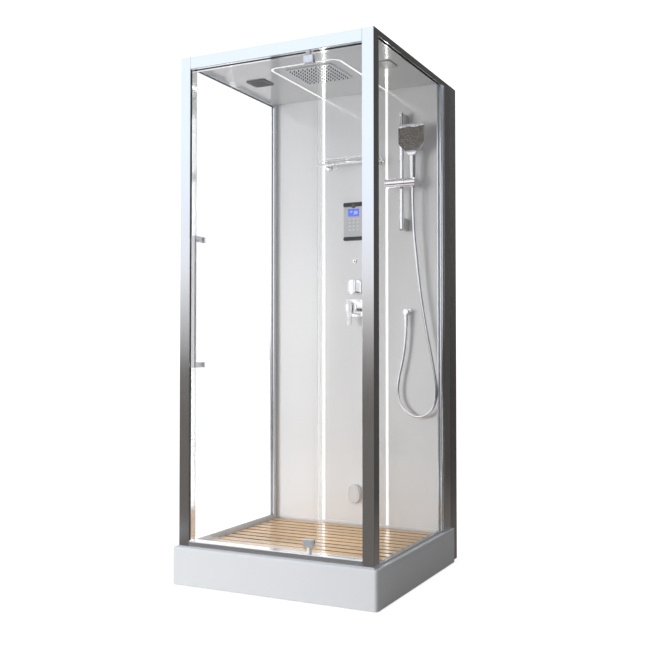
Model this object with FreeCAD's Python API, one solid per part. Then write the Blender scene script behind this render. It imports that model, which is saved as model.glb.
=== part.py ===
import FreeCAD, Part
import math
import os

# Shower cabin: tray, framed glass box with a pivot door, lit wall and ceiling, fittings.
# Millimetres, +Z up, front faces -Y, origin on the floor under the middle of the cabin.

# Driving dimensions
tray_width = 900.0
tray_depth = 880.0
tray_height = 153.0
frame_top = 2140.0
service_depth = 85.0
frame_inset = 20.0
post_size = 48.0
header_height = 50.0
sill_height = 24.0
rail_width = 18.0
rail_height = 24.0
profile_width = 45.0
glass = 6.0
wall_ledge = 88.0
panel = 8.0
light_x = 160.0
light_width = 12.5
loop_width = 8.5
fixed_width = 183.0
seal_width = 13.0
pivot_set = 34.5
handle_reach = 53.0
handle_depth = 12.0
handle_width = 18.0
handle_length = 528.0
handle_arm = 22.0
handle_inset = 42.0
handle_z = 1139.0
hose_d = 13.5
slide_inset = 176.0
slide_d = 19.0
slide_off = 50.0
slide_length = 519.0
holder_up = 202.0
handset_side = 56.5
handset_lean = 1.0

# Heights of the fittings: the mixer hangs from the frame top, the rest stand over it
mixer_drop = 1002.0
diverter_up = 96.0
jet_up = 216.0
control_up = 400.0
shelf_up = 675.0
slide_up = 346.0
elbow_drop = 23.0
spout = 69.0
steam_up = 133.0

# Sizes of the fittings
control_w = 102.0
control_h = 176.0
bar_top = 19.0
bar_low = 17.0
screen_w = 56.0
screen_h = 34.0
screen_up = 41.0
button_up = 73.0
button_d = 15.0
elbow_side = 12.0
elbow_off = 32.0
plate_thick = 6.0
plate_small = 68.0
plate_wide = 90.0
plate_high = 82.0
knob_w = 36.0
knob_h = 70.0
knob_deep = 26.0
cap_d = 58.0
cap_deep = 42.0
lever_w = 18.0
lever_deep = 14.0
lever_length = 108.0
shelf_w = 280.0
shelf_d = 110.0
shelf_corner = 60.0
shelf_off = 62.0
shelf_rod = 12.0
head_size = 222.0
head_set = 382.0
head_high = 32.0
inlet_up = 20.0
inlet_r = 11.0
head_pitch = 20.4
outlet_r = 2.6
fan_size = 96.0
fan_inset = 134.0
fan_high = 42.0
speaker_high = 18.0
speaker_pitch = 10.0
steam_w = 62.0
steam_h = 86.0
steam_deep = 20.0
paddle_w = 120.0
paddle_h = 138.0
paddle_thick = 16.0
paddle_ahead = 6.6
face_w = 104.0
bracket_w = 28.0
bracket_high = 52.0
slider_high = 37.0
slider_deep = 52.0
slider_ahead = 8.0
face_h = 92.0
slat_count = 12
slat_lane = 13.0
slat_thick = 18.0
bearer_w = 40.0
bearer_high = 32.0
board_drop = 10.0
rib_w = 14.0
rib_high = 7.0
foot_d = 56.0
foot_inset = 120.0
waste_d = 88.0
drain_set = 158.5
spigot_d = 40.0
spigot_z = 52.0
spigot_end = 50.0
tank_w = 240.0
tank_d = 92.0
tank_h = 250.0
tank_side = 60.0
unit_w = 90.0
unit_h = 120.0
unit_d = 38.0
unit_side = 96.0
cable_d = 9.0
rear_rail = 40.0
fixing_d = 7.0
pipe_d = 16.0
pipe_off = 26.0
boss = 32.0

# Clearances
gap = 0.4
play = 0.05
slot_side = 1.0
door_gap = 12.0

# Derived frame positions
half = tray_width / 2
handle_proud = handle_reach + handle_depth / 2 + glass / 2 - frame_inset - post_size / 2
overall_depth = handle_proud + tray_depth + service_depth
tray_front = handle_proud - overall_depth / 2
tray_rear = tray_front + tray_depth
cabin_rear = overall_depth / 2
side_x = half - frame_inset
post_in = side_x - post_size
frame_front = tray_front + frame_inset
frame_back = frame_front + post_size
glass_y = frame_front + post_size / 2
glass_x = side_x - rail_width / 2
fixed_left = post_in - fixed_width
door_right = fixed_left - seal_width
pivot_x = door_right - pivot_set
handle_x = handle_inset - post_in
slide_x = side_x - slide_inset
handset_x = slide_x + handset_side
elbow_x = slide_x + elbow_side
rail_in = side_x - rail_width
wall_y = tray_rear - wall_ledge
panel_back = wall_y + panel
sill_top = tray_height + sill_height
header_low = frame_top - header_height
rail_low = frame_top - rail_height
ceiling_z = frame_top - 10
roof_z = ceiling_z + panel
slot_half = glass / 2 + slot_side
rim_side = 37.0
channel_deep = 40.0
pane_foot = tray_height + 3
recess_front = frame_back + 2
recess_rear = wall_y - 2
recess_x = half - rim_side
shell = 6.0
duckboard_top = tray_height - board_drop
floor_z = duckboard_top - slat_thick - bearer_high
foot_top = floor_z - shell
drain_y = wall_y - drain_set
head_y = glass_y + head_set
head_box = head_size - 20
fan_x = fan_inset - side_x
fan_box = fan_size - 4
fan_y = head_y + 4
slide_y = wall_y - slide_off
handset_y = slide_y - 14
mixer_z = frame_top - mixer_drop
diverter_z = mixer_z + diverter_up
jet_z = mixer_z + jet_up
control_z = mixer_z + control_up
screen_z = control_z + screen_up
button_z = control_z + button_up
button_r = button_d / 2
shelf_z = mixer_z + shelf_up
slide_low = mixer_z + slide_up
slide_high = slide_low + slide_length
holder_z = slide_low + holder_up
elbow_z = mixer_z - elbow_drop
elbow_low = elbow_z - spout
steam_z = tray_height + steam_up
foot_x = half - foot_inset
bearer_x = (-foot_x, -foot_x / 3, foot_x / 3, foot_x)
hinge_x0 = pivot_x - 21.5
hinge_x1 = pivot_x + 21.5
hinge_high = 29.0
hinge_top_z = header_low - 44
hinge_low_z = sill_top + 24
arm_set = (handle_length - handle_arm) / 2
handle_arms = (handle_z - arm_set, handle_z + arm_set)

V = FreeCAD.Vector
X = V(1, 0, 0)
Y = V(0, 1, 0)
Z = V(0, 0, 1)
O = V(0, 0, 0)
DIAMOND = ((1, 0), (0, 1), (-1, 0), (0, -1))


def box(x0, x1, y0, y1, z0, z1):
    """Block between two corners."""
    return Part.makeBox(x1 - x0, y1 - y0, z1 - z0, V(x0, y0, z0))


def rod(r, start, end):
    """Round bar between two points."""
    way = end.sub(start)
    return Part.makeCylinder(r, way.Length, start, way)


def cone(r0, r1, start, end):
    """Tapered round bar between two points."""
    way = end.sub(start)
    return Part.makeCone(r0, r1, way.Length, start, way)


def rect_wire(w, h, r, z=0.0, cx=0.0, cy=0.0):
    """Rounded rectangle in a level plane."""
    a = w / 2 - r
    b = h / 2 - r
    k = r * math.sqrt(0.5)
    edges = []
    for sx, sy, turn in ((1, 1, 0), (-1, 1, 1), (-1, -1, 2), (1, -1, 3)):
        c = V(cx + sx * a, cy + sy * b, z)
        angle = turn * math.pi / 2
        p = c + V(r * math.cos(angle), r * math.sin(angle), 0)
        m = c + V(sx * k, sy * k, 0)
        q = c + V(-r * math.sin(angle), r * math.cos(angle), 0)
        edges.append(Part.Arc(p, m, q).toShape())
    wire = []
    for i in range(4):
        wire.append(edges[i])
        start = edges[i].Vertexes[-1].Point
        end = edges[(i + 1) % 4].Vertexes[0].Point
        wire.append(Part.makeLine(start, end))
    return Part.Wire(wire)


def pad(w, h, r, thick, z=0.0, cx=0.0, cy=0.0):
    """Rounded plate growing upward from a level plane."""
    return Part.Face(rect_wire(w, h, r, z, cx, cy)).extrude(V(0, 0, thick))


def outline(points, way):
    """Prism of a closed outline."""
    return Part.Face(Part.makePolygon(points + [points[0]])).extrude(way)


def turned(points, centre=O, axis=Z):
    """Body of revolution from (radius, height) points, set along an axis."""
    pts = [V(r, 0, h) for r, h in points]
    body = Part.Face(Part.makePolygon(pts + [pts[0]])).revolve(O, Z, 360)
    body.Placement = FreeCAD.Placement(centre, FreeCAD.Rotation(Z, axis))
    return body


def on_wall(shape, x, z, off=0.0):
    """Stand a shape built upward from a level plane off the wall face."""
    turn = FreeCAD.Placement(O, FreeCAD.Rotation(X, 90))
    move = FreeCAD.Placement(V(x, wall_y - off, z), FreeCAD.Rotation())
    done = shape.copy()
    done.Placement = move.multiply(turn).multiply(shape.Placement)
    return done


def soften(shape, r, test):
    """Round the edges that pass a test."""
    edges = [e for e in shape.Edges if test(e)]
    return shape.makeFillet(r, edges)


def level(z):
    """Test for edges lying in a level plane."""
    return lambda e: all(abs(v.Point.z - z) < 0.01 for v in e.Vertexes)


def both(shape):
    """The shape and its mirror image across the cabin."""
    return [shape, shape.mirror(O, X)]


def path_wire(points):
    """Straight runs joined by tangent arcs."""
    start = points[0]
    edges = []
    radii = []
    for i in range(1, len(points) - 1):
        a, b, c = points[i - 1], points[i], points[i + 1]
        u = a.sub(b)
        w = c.sub(b)
        run = min(u.Length, w.Length)
        u.normalize()
        w.normalize()
        turn = math.pi - u.getAngle(w)
        back = 0.45 * run
        r = back / math.tan(turn / 2)
        p = b + u * back
        q = b + w * back
        mid = u + w
        mid.normalize()
        m = b + mid * (r / math.cos(turn / 2) - r)
        edges.append(Part.LineSegment(start, p).toShape())
        edges.append(Part.Arc(p, m, q).toShape())
        radii.append(r)
        start = q
    edges.append(Part.LineSegment(start, points[-1]).toShape())
    return Part.Wire(edges), radii


def pipe(points, r):
    """Round pipe along straight runs and tangent arcs."""
    wire, radii = path_wire(points)
    way = points[1].sub(points[0])
    ring = Part.Wire(Part.makeCircle(r, points[0], way))
    return wire.makePipeShell([ring], True, False), wire.Length, radii


def bent_pipe(points, r, bend):
    """Rigid pipe as straight runs and soldered bends of one radius."""
    solids = []
    start = points[0]
    for i in range(1, len(points) - 1):
        u = points[i - 1].sub(points[i])
        w = points[i + 1].sub(points[i])
        u.normalize()
        w.normalize()
        p = points[i] + u * bend
        q = points[i] + w * bend
        m = points[i] + (u + w) * (bend * (1 - math.sqrt(0.5)))
        solids.append(rod(r, start, p))
        ring = Part.Wire(Part.makeCircle(r, p, u))
        arc = Part.Wire(Part.Arc(p, m, q).toShape())
        solids.append(arc.makePipeShell([ring], True, False))
        start = q
    solids.append(rod(r, start, points[-1]))
    return solids


def recess(grow):
    """Basin of the tray, tapering to its floor, grown by a shell thickness."""
    cy = (recess_front + recess_rear) / 2
    w = 2 * recess_x + 2 * grow
    d = recess_rear - recess_front + 2 * grow
    draft = 8.0
    low = rect_wire(w - draft, d - draft, 26 + grow, floor_z - grow, 0, cy)
    top = rect_wire(w, d, 30 + grow, tray_height + 1, 0, cy)
    return Part.makeLoft([low, top], True)


def rim_rib():
    """Grooved rib on the tray rim in which a side pane stands."""
    w = rib_w / 2
    rib = box(glass_x - w, glass_x + w, frame_back + gap, panel_back - channel_deep - gap,
              tray_height - 1, tray_height + rib_high)
    return rib.cut(box(glass_x - slot_half, glass_x + slot_half, frame_back - 1, panel_back,
                       pane_foot, tray_height + rib_high + 1))


def tray():
    """Shower tray: apron on three sides, rim, basin and waste hole, open behind."""
    cy = (tray_front + tray_rear) / 2
    apron_gap = 3.0
    body = pad(tray_width, tray_depth, 14, tray_height - apron_gap, apron_gap, 0, cy)
    body = soften(body, 6, level(tray_height))
    inner = half - shell
    under = box(-inner, inner, tray_front + shell, tray_rear + 20, 0, tray_height - shell)
    body = body.cut(under.cut(recess(shell))).cut(recess(0))
    body = body.fuse(both(rim_rib())).removeSplitter()
    dish = cone(46, 140, V(0, drain_y, floor_z - 3), V(0, drain_y, floor_z))
    hole = rod(30, V(0, drain_y, 0), V(0, drain_y, floor_z))
    return body.cut(dish).cut(hole)


def tray_feet():
    """Adjustable feet with pad, stud and lock nut."""
    r = foot_d / 2
    foot = turned([(0, 0), (r, 0), (r, 5), (12, 12), (6, 14), (6, foot_top - 10),
                   (11, foot_top - 10), (11, foot_top), (0, foot_top)])
    rows = (tray_front + foot_inset + 23.5, tray_rear - foot_inset - 56.5)
    places = [(x, y) for x in (-foot_x, foot_x) for y in rows] + [(0, -60)]
    feet = []
    for x, y in places:
        one = foot.copy()
        one.translate(V(x, y, 0))
        feet.append(one)
    return Part.makeCompound(feet)


def drain_waste():
    """Strainer in the basin and trap below it with its outlet to the rear."""
    top = floor_z - 3
    strainer = turned([(0, top), (43, top), (43, top + 2), (38, top + 3), (0, top + 3)],
                      V(0, drain_y, 0))
    for i in range(8):
        a = i * math.pi / 4
        slot = rod(4, V(24 * math.cos(a), drain_y + 24 * math.sin(a), top - 1),
                   V(24 * math.cos(a), drain_y + 24 * math.sin(a), top + 5))
        strainer = strainer.cut(slot)
    r = waste_d / 2
    trap = turned([(0, 26), (r - 4, 26), (r, 30), (r, foot_top), (29.5, foot_top),
                   (29.5, top), (22, top), (22, 40), (0, 40)], V(0, drain_y, 0))
    end = tray_rear + 15
    stop = end - spigot_end
    spigot = rod(spigot_d / 2, V(0, drain_y + 30, spigot_z), V(0, end, spigot_z))
    collar = rod(spigot_d / 2 + 5, V(0, stop - 8, spigot_z), V(0, stop, spigot_z))
    bore = rod(spigot_d / 2 - 3, V(0, drain_y + 10, spigot_z), V(0, end + 1, spigot_z))
    return Part.makeCompound([strainer, trap.fuse([spigot, collar]).cut(bore)])


def duckboard_slats():
    """Timber slats across the basin with eased edges."""
    first = recess_front + 18
    last = recess_rear - 15
    wide = (last - first + slat_lane) / slat_count - slat_lane
    long = 2 * recess_x - 20
    slats = []
    for i in range(slat_count):
        y = first + i * (wide + slat_lane)
        z = duckboard_top - slat_thick
        slat = box(-long / 2, long / 2, y, y + wide, z, duckboard_top)
        slats.append(soften(slat, 2.5, level(duckboard_top)))
    return Part.makeCompound(slats)


def duckboard_bearers():
    """Bearers that carry the slats over the basin floor."""
    y0 = recess_front + 36
    y1 = recess_rear - 30
    w = bearer_w / 2
    bars = [box(x - w, x + w, y0, y1, floor_z, floor_z + bearer_high) for x in bearer_x]
    return Part.makeCompound(bars)


def front_post(fixed_slot):
    """Right front post: hollow section with glass slots, closed on top."""
    cx = side_x - post_size / 2
    body = pad(post_size, post_size, 1.5, frame_top - tray_height, tray_height, cx, glass_y)
    deep = 14.0
    body = body.cut(box(glass_x - slot_half, glass_x + slot_half, frame_back - deep,
                        frame_back + 1, tray_height - 1, rail_low + 14))
    if fixed_slot:
        body = body.cut(box(post_in - 1, post_in + deep, glass_y - slot_half,
                            glass_y + slot_half, sill_top - 12, header_low + 16))
    wall = 3.0
    return body.cut(box(post_in + deep + 6, side_x - wall, frame_front + wall,
                        frame_back - deep - 6, tray_height - 1, frame_top - 4))


def front_header():
    """Top front rail: glass slot below, ledge behind for the ceiling."""
    body = box(-post_in, post_in, frame_front, frame_back, header_low, frame_top)
    body = soften(body, 1.5, lambda e: abs(e.Vertexes[0].Point.y - frame_front) < 0.01
                  and abs(e.Vertexes[-1].Point.y - frame_front) < 0.01 and e.Length > 100)
    body = body.cut(box(-half, half, glass_y - slot_half, glass_y + slot_half,
                        header_low - 1, header_low + 14))
    body = body.cut(box(-half, half, frame_back - 6, frame_back + 1, ceiling_z, frame_top + 1))
    return body.cut(box(-post_in - 1, post_in + 1, frame_front + 4, frame_back - 12,
                        header_low + 20, frame_top - 4))


def front_sill():
    """Bottom front rail with a rounded nose, pivot socket and fixed glass slot."""
    body = box(-post_in, post_in, frame_front, frame_back, tray_height, sill_top)
    body = soften(body, 3, lambda e: level(sill_top)(e) and e.Length > 100)
    body = body.cut(box(-post_in + 3, post_in - 3, frame_front + 4, frame_back - 4,
                        tray_height - 1, tray_height + 8))
    body = body.cut(box(fixed_left - 1, post_in + 1, glass_y - slot_half, glass_y + slot_half,
                        sill_top - 10, sill_top + 1))
    return body.cut(rod(5, V(pivot_x, glass_y, sill_top - 12), V(pivot_x, glass_y, sill_top + 1)))


def side_top_rails():
    """Side rails: glass slot below and a ledge inside for the ceiling."""
    body = box(rail_in, side_x, frame_back, panel_back, rail_low, frame_top)
    body = body.cut(box(glass_x - slot_half, glass_x + slot_half, frame_back - 1,
                        panel_back + 1, rail_low - 1, rail_low + 12))
    body = body.cut(box(rail_in - 1, rail_in + 6, frame_back - 1, panel_back + 1,
                        ceiling_z, frame_top + 1))
    return Part.makeCompound(both(body))


def glass_channels():
    """Wall channels that hold the side panes."""
    front = panel_back - channel_deep
    wall = box(rail_in, side_x, front, panel_back, tray_height, rail_low)
    wall = wall.cut(box(glass_x - slot_half, glass_x + slot_half, front - 1,
                        panel_back - 14, tray_height - 1, rail_low + 1))
    return Part.makeCompound(both(wall))


def wall_side_profiles():
    """Hollow profiles on the tray rim that carry the wall panels."""
    x0 = side_x - profile_width
    body = box(x0, side_x, panel_back, tray_rear, tray_height, frame_top)
    body = body.cut(box(x0 + 3, side_x - 3, panel_back + 3, tray_rear - 3,
                        tray_height - 1, frame_top - 4))
    return Part.makeCompound(both(body))


def rear_posts():
    """Rear posts down to the floor with wall fixing holes and a shadow groove."""
    x0 = side_x - profile_width
    y0 = tray_rear + 2
    body = box(x0, side_x, y0, cabin_rear, 0, frame_top)
    body = body.cut(box(x0 + 3, side_x - 3, y0 + 3, cabin_rear - 3, -1, frame_top - 4))
    key = box(x0 + 6, side_x - 12, tray_rear, y0, tray_height, frame_top - 4)
    body = body.fuse(key)
    cx = side_x - profile_width / 2
    for z in (300, frame_top - 240):
        body = body.cut(rod(fixing_d / 2, V(cx, cabin_rear - 5, z), V(cx, cabin_rear + 1, z)))
    return Part.makeCompound(both(body))


def rear_cross_rails():
    """Cross rails between the rear posts."""
    x1 = side_x - profile_width
    y1 = cabin_rear - 20
    rails = []
    for z in (spigot_z + waste_d, frame_top / 2 - 70, frame_top - 80):
        rail = box(-x1, x1, y1 - 30, y1, z, z + rear_rail)
        rails.append(rail.cut(box(-x1 - 1, x1 + 1, y1 - 27, y1 - 3, z + 3, z + rear_rail + 1)))
    return Part.makeCompound(rails)


def centre_wall_panel():
    """Middle wall panel with holes for the fittings."""
    x1 = light_x - light_width / 2 - gap
    body = box(-x1, x1, wall_y, panel_back, tray_height, ceiling_z)
    for z, r in ((mixer_z, 18), (diverter_z, 14), (jet_z, 7), (steam_z, 11), (control_z, 12)):
        body = body.cut(rod(r, V(0, wall_y - 1, z), V(0, panel_back + 1, z)))
    return body


def outer_wall_panel(side):
    """Wall panel beside a light strip; the right one has the hose outlet hole."""
    x0 = light_x + light_width / 2 + gap
    body = box(x0, rail_in - gap, wall_y, panel_back, tray_height, ceiling_z)
    if side > 0:
        return body.cut(rod(11, V(elbow_x, wall_y - 1, elbow_z), V(elbow_x, panel_back + 1, elbow_z)))
    return body.mirror(O, X)


def wall_led_strips():
    """Vertical light strips with a curved diffuser."""
    w = light_width / 2
    front = Part.Arc(V(light_x - w, wall_y, 0), V(light_x, wall_y - 1.6, 0),
                     V(light_x + w, wall_y, 0)).toShape()
    back = Part.makePolygon([V(light_x + w, wall_y, 0), V(light_x + w, panel_back - gap, 0),
                             V(light_x - w, panel_back - gap, 0), V(light_x - w, wall_y, 0)])
    face = Part.Face(Part.Wire([front] + back.Edges))
    strip = face.extrude(V(0, 0, ceiling_z - tray_height - gap))
    strip.translate(V(0, 0, tray_height))
    return Part.makeCompound(both(strip))


def loop_prism(grow, z0, z1):
    """U band on the ceiling that joins the two wall strips."""
    y_front = head_y - head_size / 2 - 42
    y_back = wall_y - 2 + grow
    w = loop_width / 2 + grow
    parts = []
    for s, r in ((w, 38 + w), (-w, 38 - w)):
        x = light_x + s
        y = y_front - s
        k = r * (1 - math.sqrt(0.5))
        wire = [Part.makeLine(V(-x, y_back, z0), V(-x, y + r, z0)),
                Part.Arc(V(-x, y + r, z0), V(-x + k, y + k, z0), V(-x + r, y, z0)).toShape(),
                Part.makeLine(V(-x + r, y, z0), V(x - r, y, z0)),
                Part.Arc(V(x - r, y, z0), V(x - k, y + k, z0), V(x, y + r, z0)).toShape(),
                Part.makeLine(V(x, y + r, z0), V(x, y_back, z0)),
                Part.makeLine(V(x, y_back, z0), V(-x, y_back, z0))]
        parts.append(Part.Face(Part.Wire(wire)).extrude(V(0, 0, z1 - z0)))
    return parts[0].cut(parts[1])


def ceiling_led_loop():
    """Ceiling light loop, let into the panel."""
    return loop_prism(0, ceiling_z - 1.4, ceiling_z + 4)


def ceiling_panel():
    """Ceiling resting on the rail ledges, cut out for head, fan, speaker and light."""
    x1 = rail_in + 6 - gap
    body = box(-x1, x1, frame_back + gap, panel_back - gap, ceiling_z, roof_z)
    lip = post_in - gap
    body = body.fuse(box(-lip, lip, frame_back - 6 + gap, frame_back + 2, ceiling_z, roof_z))
    body = body.removeSplitter()
    hole = head_box + 2
    vent = fan_box + 1
    body = body.cut(pad(hole, hole, 6, 20, ceiling_z - 1, 0, head_y))
    for x in (fan_x, -fan_x):
        body = body.cut(pad(vent, vent, 8, 20, ceiling_z - 1, x, fan_y))
    return body.cut(loop_prism(0.3, ceiling_z - 1, ceiling_z + 4))


def side_panes():
    """Side panes seated in post, rail, channel and tray rib."""
    pane = box(glass_x - glass / 2, glass_x + glass / 2, frame_back - 11, panel_back - 17,
               pane_foot, rail_low + 10)
    return Part.makeCompound(both(pane))


def fixed_front_glass():
    """Fixed pane beside the door."""
    return box(fixed_left, post_in + 11, glass_y - glass / 2, glass_y + glass / 2,
               sill_top - 10, header_low + 11)


def fixed_glass_seal():
    """Clear edge seal on the fixed pane with a fin toward the door."""
    t = glass / 2
    o = t + 1.8
    x0 = door_right + 2.5
    xs = fixed_left
    z0 = sill_top + gap
    pts = [(x0, -1.2), (xs - 3, -1.2), (xs - 3, -o), (xs + 16, -o), (xs + 16, -t),
           (xs, -t), (xs, t), (xs + 16, t), (xs + 16, o), (xs - 3, o), (xs - 3, 1.2), (x0, 1.2)]
    return outline([V(x, glass_y + y, z0) for x, y in pts], V(0, 0, header_low - gap - z0))


def door_glass():
    """Door pane with notches round the pivots and handle holes."""
    x0 = -post_in + door_gap
    z0 = sill_top + door_gap
    z1 = header_low - 8
    pane = box(x0, door_right, glass_y - glass / 2, glass_y + glass / 2, z0, z1)
    pane = pane.cut(box(hinge_x0 - 2, hinge_x1 + 2, glass_y - 9, glass_y + 9,
                        hinge_top_z + 13, z1 + 1))
    pane = pane.cut(box(hinge_x0 - 2, hinge_x1 + 2, glass_y - 9, glass_y + 9,
                        z0 - 1, hinge_low_z + 12))
    for z in handle_arms:
        pane = pane.cut(rod(6, V(handle_x, glass_y - 9, z), V(handle_x, glass_y + 9, z)))
    return pane


def door_seals():
    """Closing-edge seal and bottom sweep, both gripping the pane."""
    t = glass / 2
    o = t + 1.6
    x0 = -post_in + 0.8
    xe = -post_in + door_gap
    z0 = sill_top + door_gap
    z1 = header_low - 8
    pts = [(x0, -2), (x0 + 3, -4), (xe - 2, -4), (xe - 2, -o), (xe + 12, -o), (xe + 12, -t),
           (xe, -t), (xe, t), (xe + 12, t), (xe + 12, o), (xe - 2, o), (xe - 2, 4), (x0 + 3, 4),
           (x0, 2)]
    edge = outline([V(x, glass_y + y, z0) for x, y in pts], V(0, 0, z1 - z0))
    zl = sill_top + 2.5
    sweep = [(-1, zl), (1, zl), (1, z0 - 2), (o, z0 - 2), (o, z0 + 10), (t, z0 + 10), (t, z0),
             (-t, z0), (-t, z0 + 10), (-o, z0 + 10), (-o, z0 - 2), (-1, z0 - 2)]
    start = xe + 13
    low = outline([V(start, glass_y + y, z) for y, z in sweep], V(hinge_x0 - 4 - start, 0, 0))
    return Part.makeCompound([edge, low])


def hinge_clamps():
    """Pivot clamps that grip the pane top and bottom."""
    cx = (hinge_x0 + hinge_x1) / 2
    w = hinge_x1 - hinge_x0
    clamps = []
    for z, grip in ((hinge_top_z, -1), (hinge_low_z, 1)):
        body = pad(w, 24, 3, hinge_high, z, cx, glass_y)
        body = soften(body, 1.5, level(z if grip < 0 else z + hinge_high))
        split = z + (13 if grip < 0 else 12)
        z0, z1 = (z - 1, split) if grip < 0 else (split, z + hinge_high + 1)
        body = body.cut(box(hinge_x0 - 1, hinge_x1 + 1, glass_y - glass / 2,
                            glass_y + glass / 2, z0, z1))
        b0, b1 = (z + 14, z + hinge_high + 1) if grip < 0 else (z - 1, z + 11)
        body = body.cut(rod(5 + play, V(pivot_x, glass_y, b0), V(pivot_x, glass_y, b1)))
        clamps.append(body)
    return Part.makeCompound(clamps)


def hinge_pivot_pins():
    """Pivot pins held in the header slot and the sill."""
    up = rod(5, V(pivot_x, glass_y, hinge_top_z + 15), V(pivot_x, glass_y, header_low))
    block = box(pivot_x - 16, pivot_x + 16, glass_y - slot_half, glass_y + slot_half,
                header_low, header_low + 14)
    washer = rod(8, V(pivot_x, glass_y, header_low - 4), V(pivot_x, glass_y, header_low))
    top = block.fuse(up).fuse(washer)
    low = rod(5, V(pivot_x, glass_y, sill_top - 12), V(pivot_x, glass_y, hinge_low_z + 10))
    collar = rod(9, V(pivot_x, glass_y, sill_top), V(pivot_x, glass_y, hinge_low_z - gap))
    return Part.makeCompound([top, low.fuse(collar)])


def door_handle_bar():
    """Flat pull bar with rounded long edges."""
    y = glass_y - glass / 2 - handle_reach
    bar = pad(handle_width, handle_depth, 2.5, handle_length, handle_z - handle_length / 2,
              handle_x, y)
    return bar


def door_handle_fixings():
    """Square arms, washers and through bolts of the pull bar."""
    face = glass_y - glass / 2
    back = glass_y + glass / 2
    fixings = []
    for z in handle_arms:
        arm = box(handle_x - 7, handle_x + 7, face - handle_reach + handle_depth / 2, face - 3,
                  z - handle_arm / 2, z + handle_arm / 2)
        washer = rod(10, V(handle_x, face - 3, z), V(handle_x, face, z))
        bolt = rod(5, V(handle_x, face - 1, z), V(handle_x, back + 1, z))
        cap = pad(14, 14, 2, handle_arm, z - handle_arm / 2, handle_x, back + 7)
        fixings.append(arm.fuse([washer, bolt, cap]))
    return Part.makeCompound(fixings)


def shower_head_plate():
    """Rain plate with a square pattern of outlets."""
    plate = pad(head_size, head_size, 10, 6, ceiling_z - 6, 0, head_y)
    plate = soften(plate, 2, level(ceiling_z - 6))
    holes = []
    for i in range(10):
        for j in range(10):
            x = (i - 4.5) * head_pitch
            y = head_y + (j - 4.5) * head_pitch
            turns = [k * math.pi / 3 for k in range(6)]
            pts = [V(x + outlet_r * math.cos(a), y + outlet_r * math.sin(a), ceiling_z - 7)
                   for a in turns]
            holes.append(outline(pts, V(0, 0, 8)))
    return plate.cut(Part.makeCompound(holes))


def shower_head_body():
    """Water chamber above the rain plate with its side inlet."""
    inside = head_box - 8
    z = ceiling_z + inlet_up
    y = head_y + head_box / 2
    body = pad(head_box, head_box, 5, head_high, ceiling_z, 0, head_y)
    body = body.cut(pad(inside, inside, 4, head_high - 5, ceiling_z - 1, 0, head_y))
    port = rod(inlet_r, V(0, y - 1, z), V(0, y + 15, z))
    bore = rod(pipe_d / 2 + 0.3, V(0, y - 11, z), V(0, y + 16, z))
    return body.fuse(port).cut(bore)


def fan_grille():
    """Slotted fan cover under the ceiling."""
    slot = fan_size / 2 - 12
    plate = pad(fan_size, fan_size, 14, 5, ceiling_z - 5, fan_x, fan_y)
    plate = soften(plate, 2, level(ceiling_z - 5))
    for i in range(7):
        y = fan_y + (i - 3) * slot * 11 / 36
        plate = plate.cut(box(fan_x - slot, fan_x + slot, y - 3, y + 3, ceiling_z - 6, ceiling_z + 1))
    return plate


def fan_housing():
    """Fan duct on the roof with motor spider and spindle."""
    top = ceiling_z + fan_high
    duct = fan_box - 5
    body = pad(fan_box, fan_box, 7, fan_high, ceiling_z, fan_x, fan_y)
    body = body.cut(pad(duct, duct, 5, fan_high - 3, ceiling_z - 1, fan_x, fan_y))
    ring = rod(fan_box / 2 - 8, V(fan_x, fan_y, top - 5), V(fan_x, fan_y, top + 1))
    for a in (0, 1, 2):
        arm = box(-3, 3, 0, duct / 2, top - 6, top + 2)
        arm.rotate(O, Z, 120 * a + 60)
        arm.translate(V(fan_x, fan_y, 0))
        ring = ring.cut(arm)
    ring = ring.cut(rod(16, V(fan_x, fan_y, top - 6), V(fan_x, fan_y, top + 2)))
    body = body.cut(ring)
    motor = rod(14, V(fan_x, fan_y, top - 8), V(fan_x, fan_y, top - 1))
    spindle = rod(2.5, V(fan_x, fan_y, ceiling_z + 10), V(fan_x, fan_y, top - 4))
    return body.fuse(motor).fuse(spindle)


def fan_rotor():
    """Fan wheel: hub and pitched blades."""
    z0 = ceiling_z + 13
    z1 = ceiling_z + fan_high - 11
    wheel = rod(14, V(0, 0, z0), V(0, 0, z1))
    for i in range(7):
        blade = box(11, fan_box / 2 - 8, -11, 11, -0.9, 0.9)
        blade.rotate(O, X, 36)
        blade.translate(V(0, 0, (z0 + z1) / 2))
        blade.rotate(O, Z, i * 360 / 7)
        wheel = wheel.fuse(blade)
    wheel = wheel.cut(rod(2.5 + play, V(0, 0, z0 - 1), V(0, 0, z1 + 1)))
    wheel.translate(V(fan_x, fan_y, 0))
    return wheel


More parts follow.
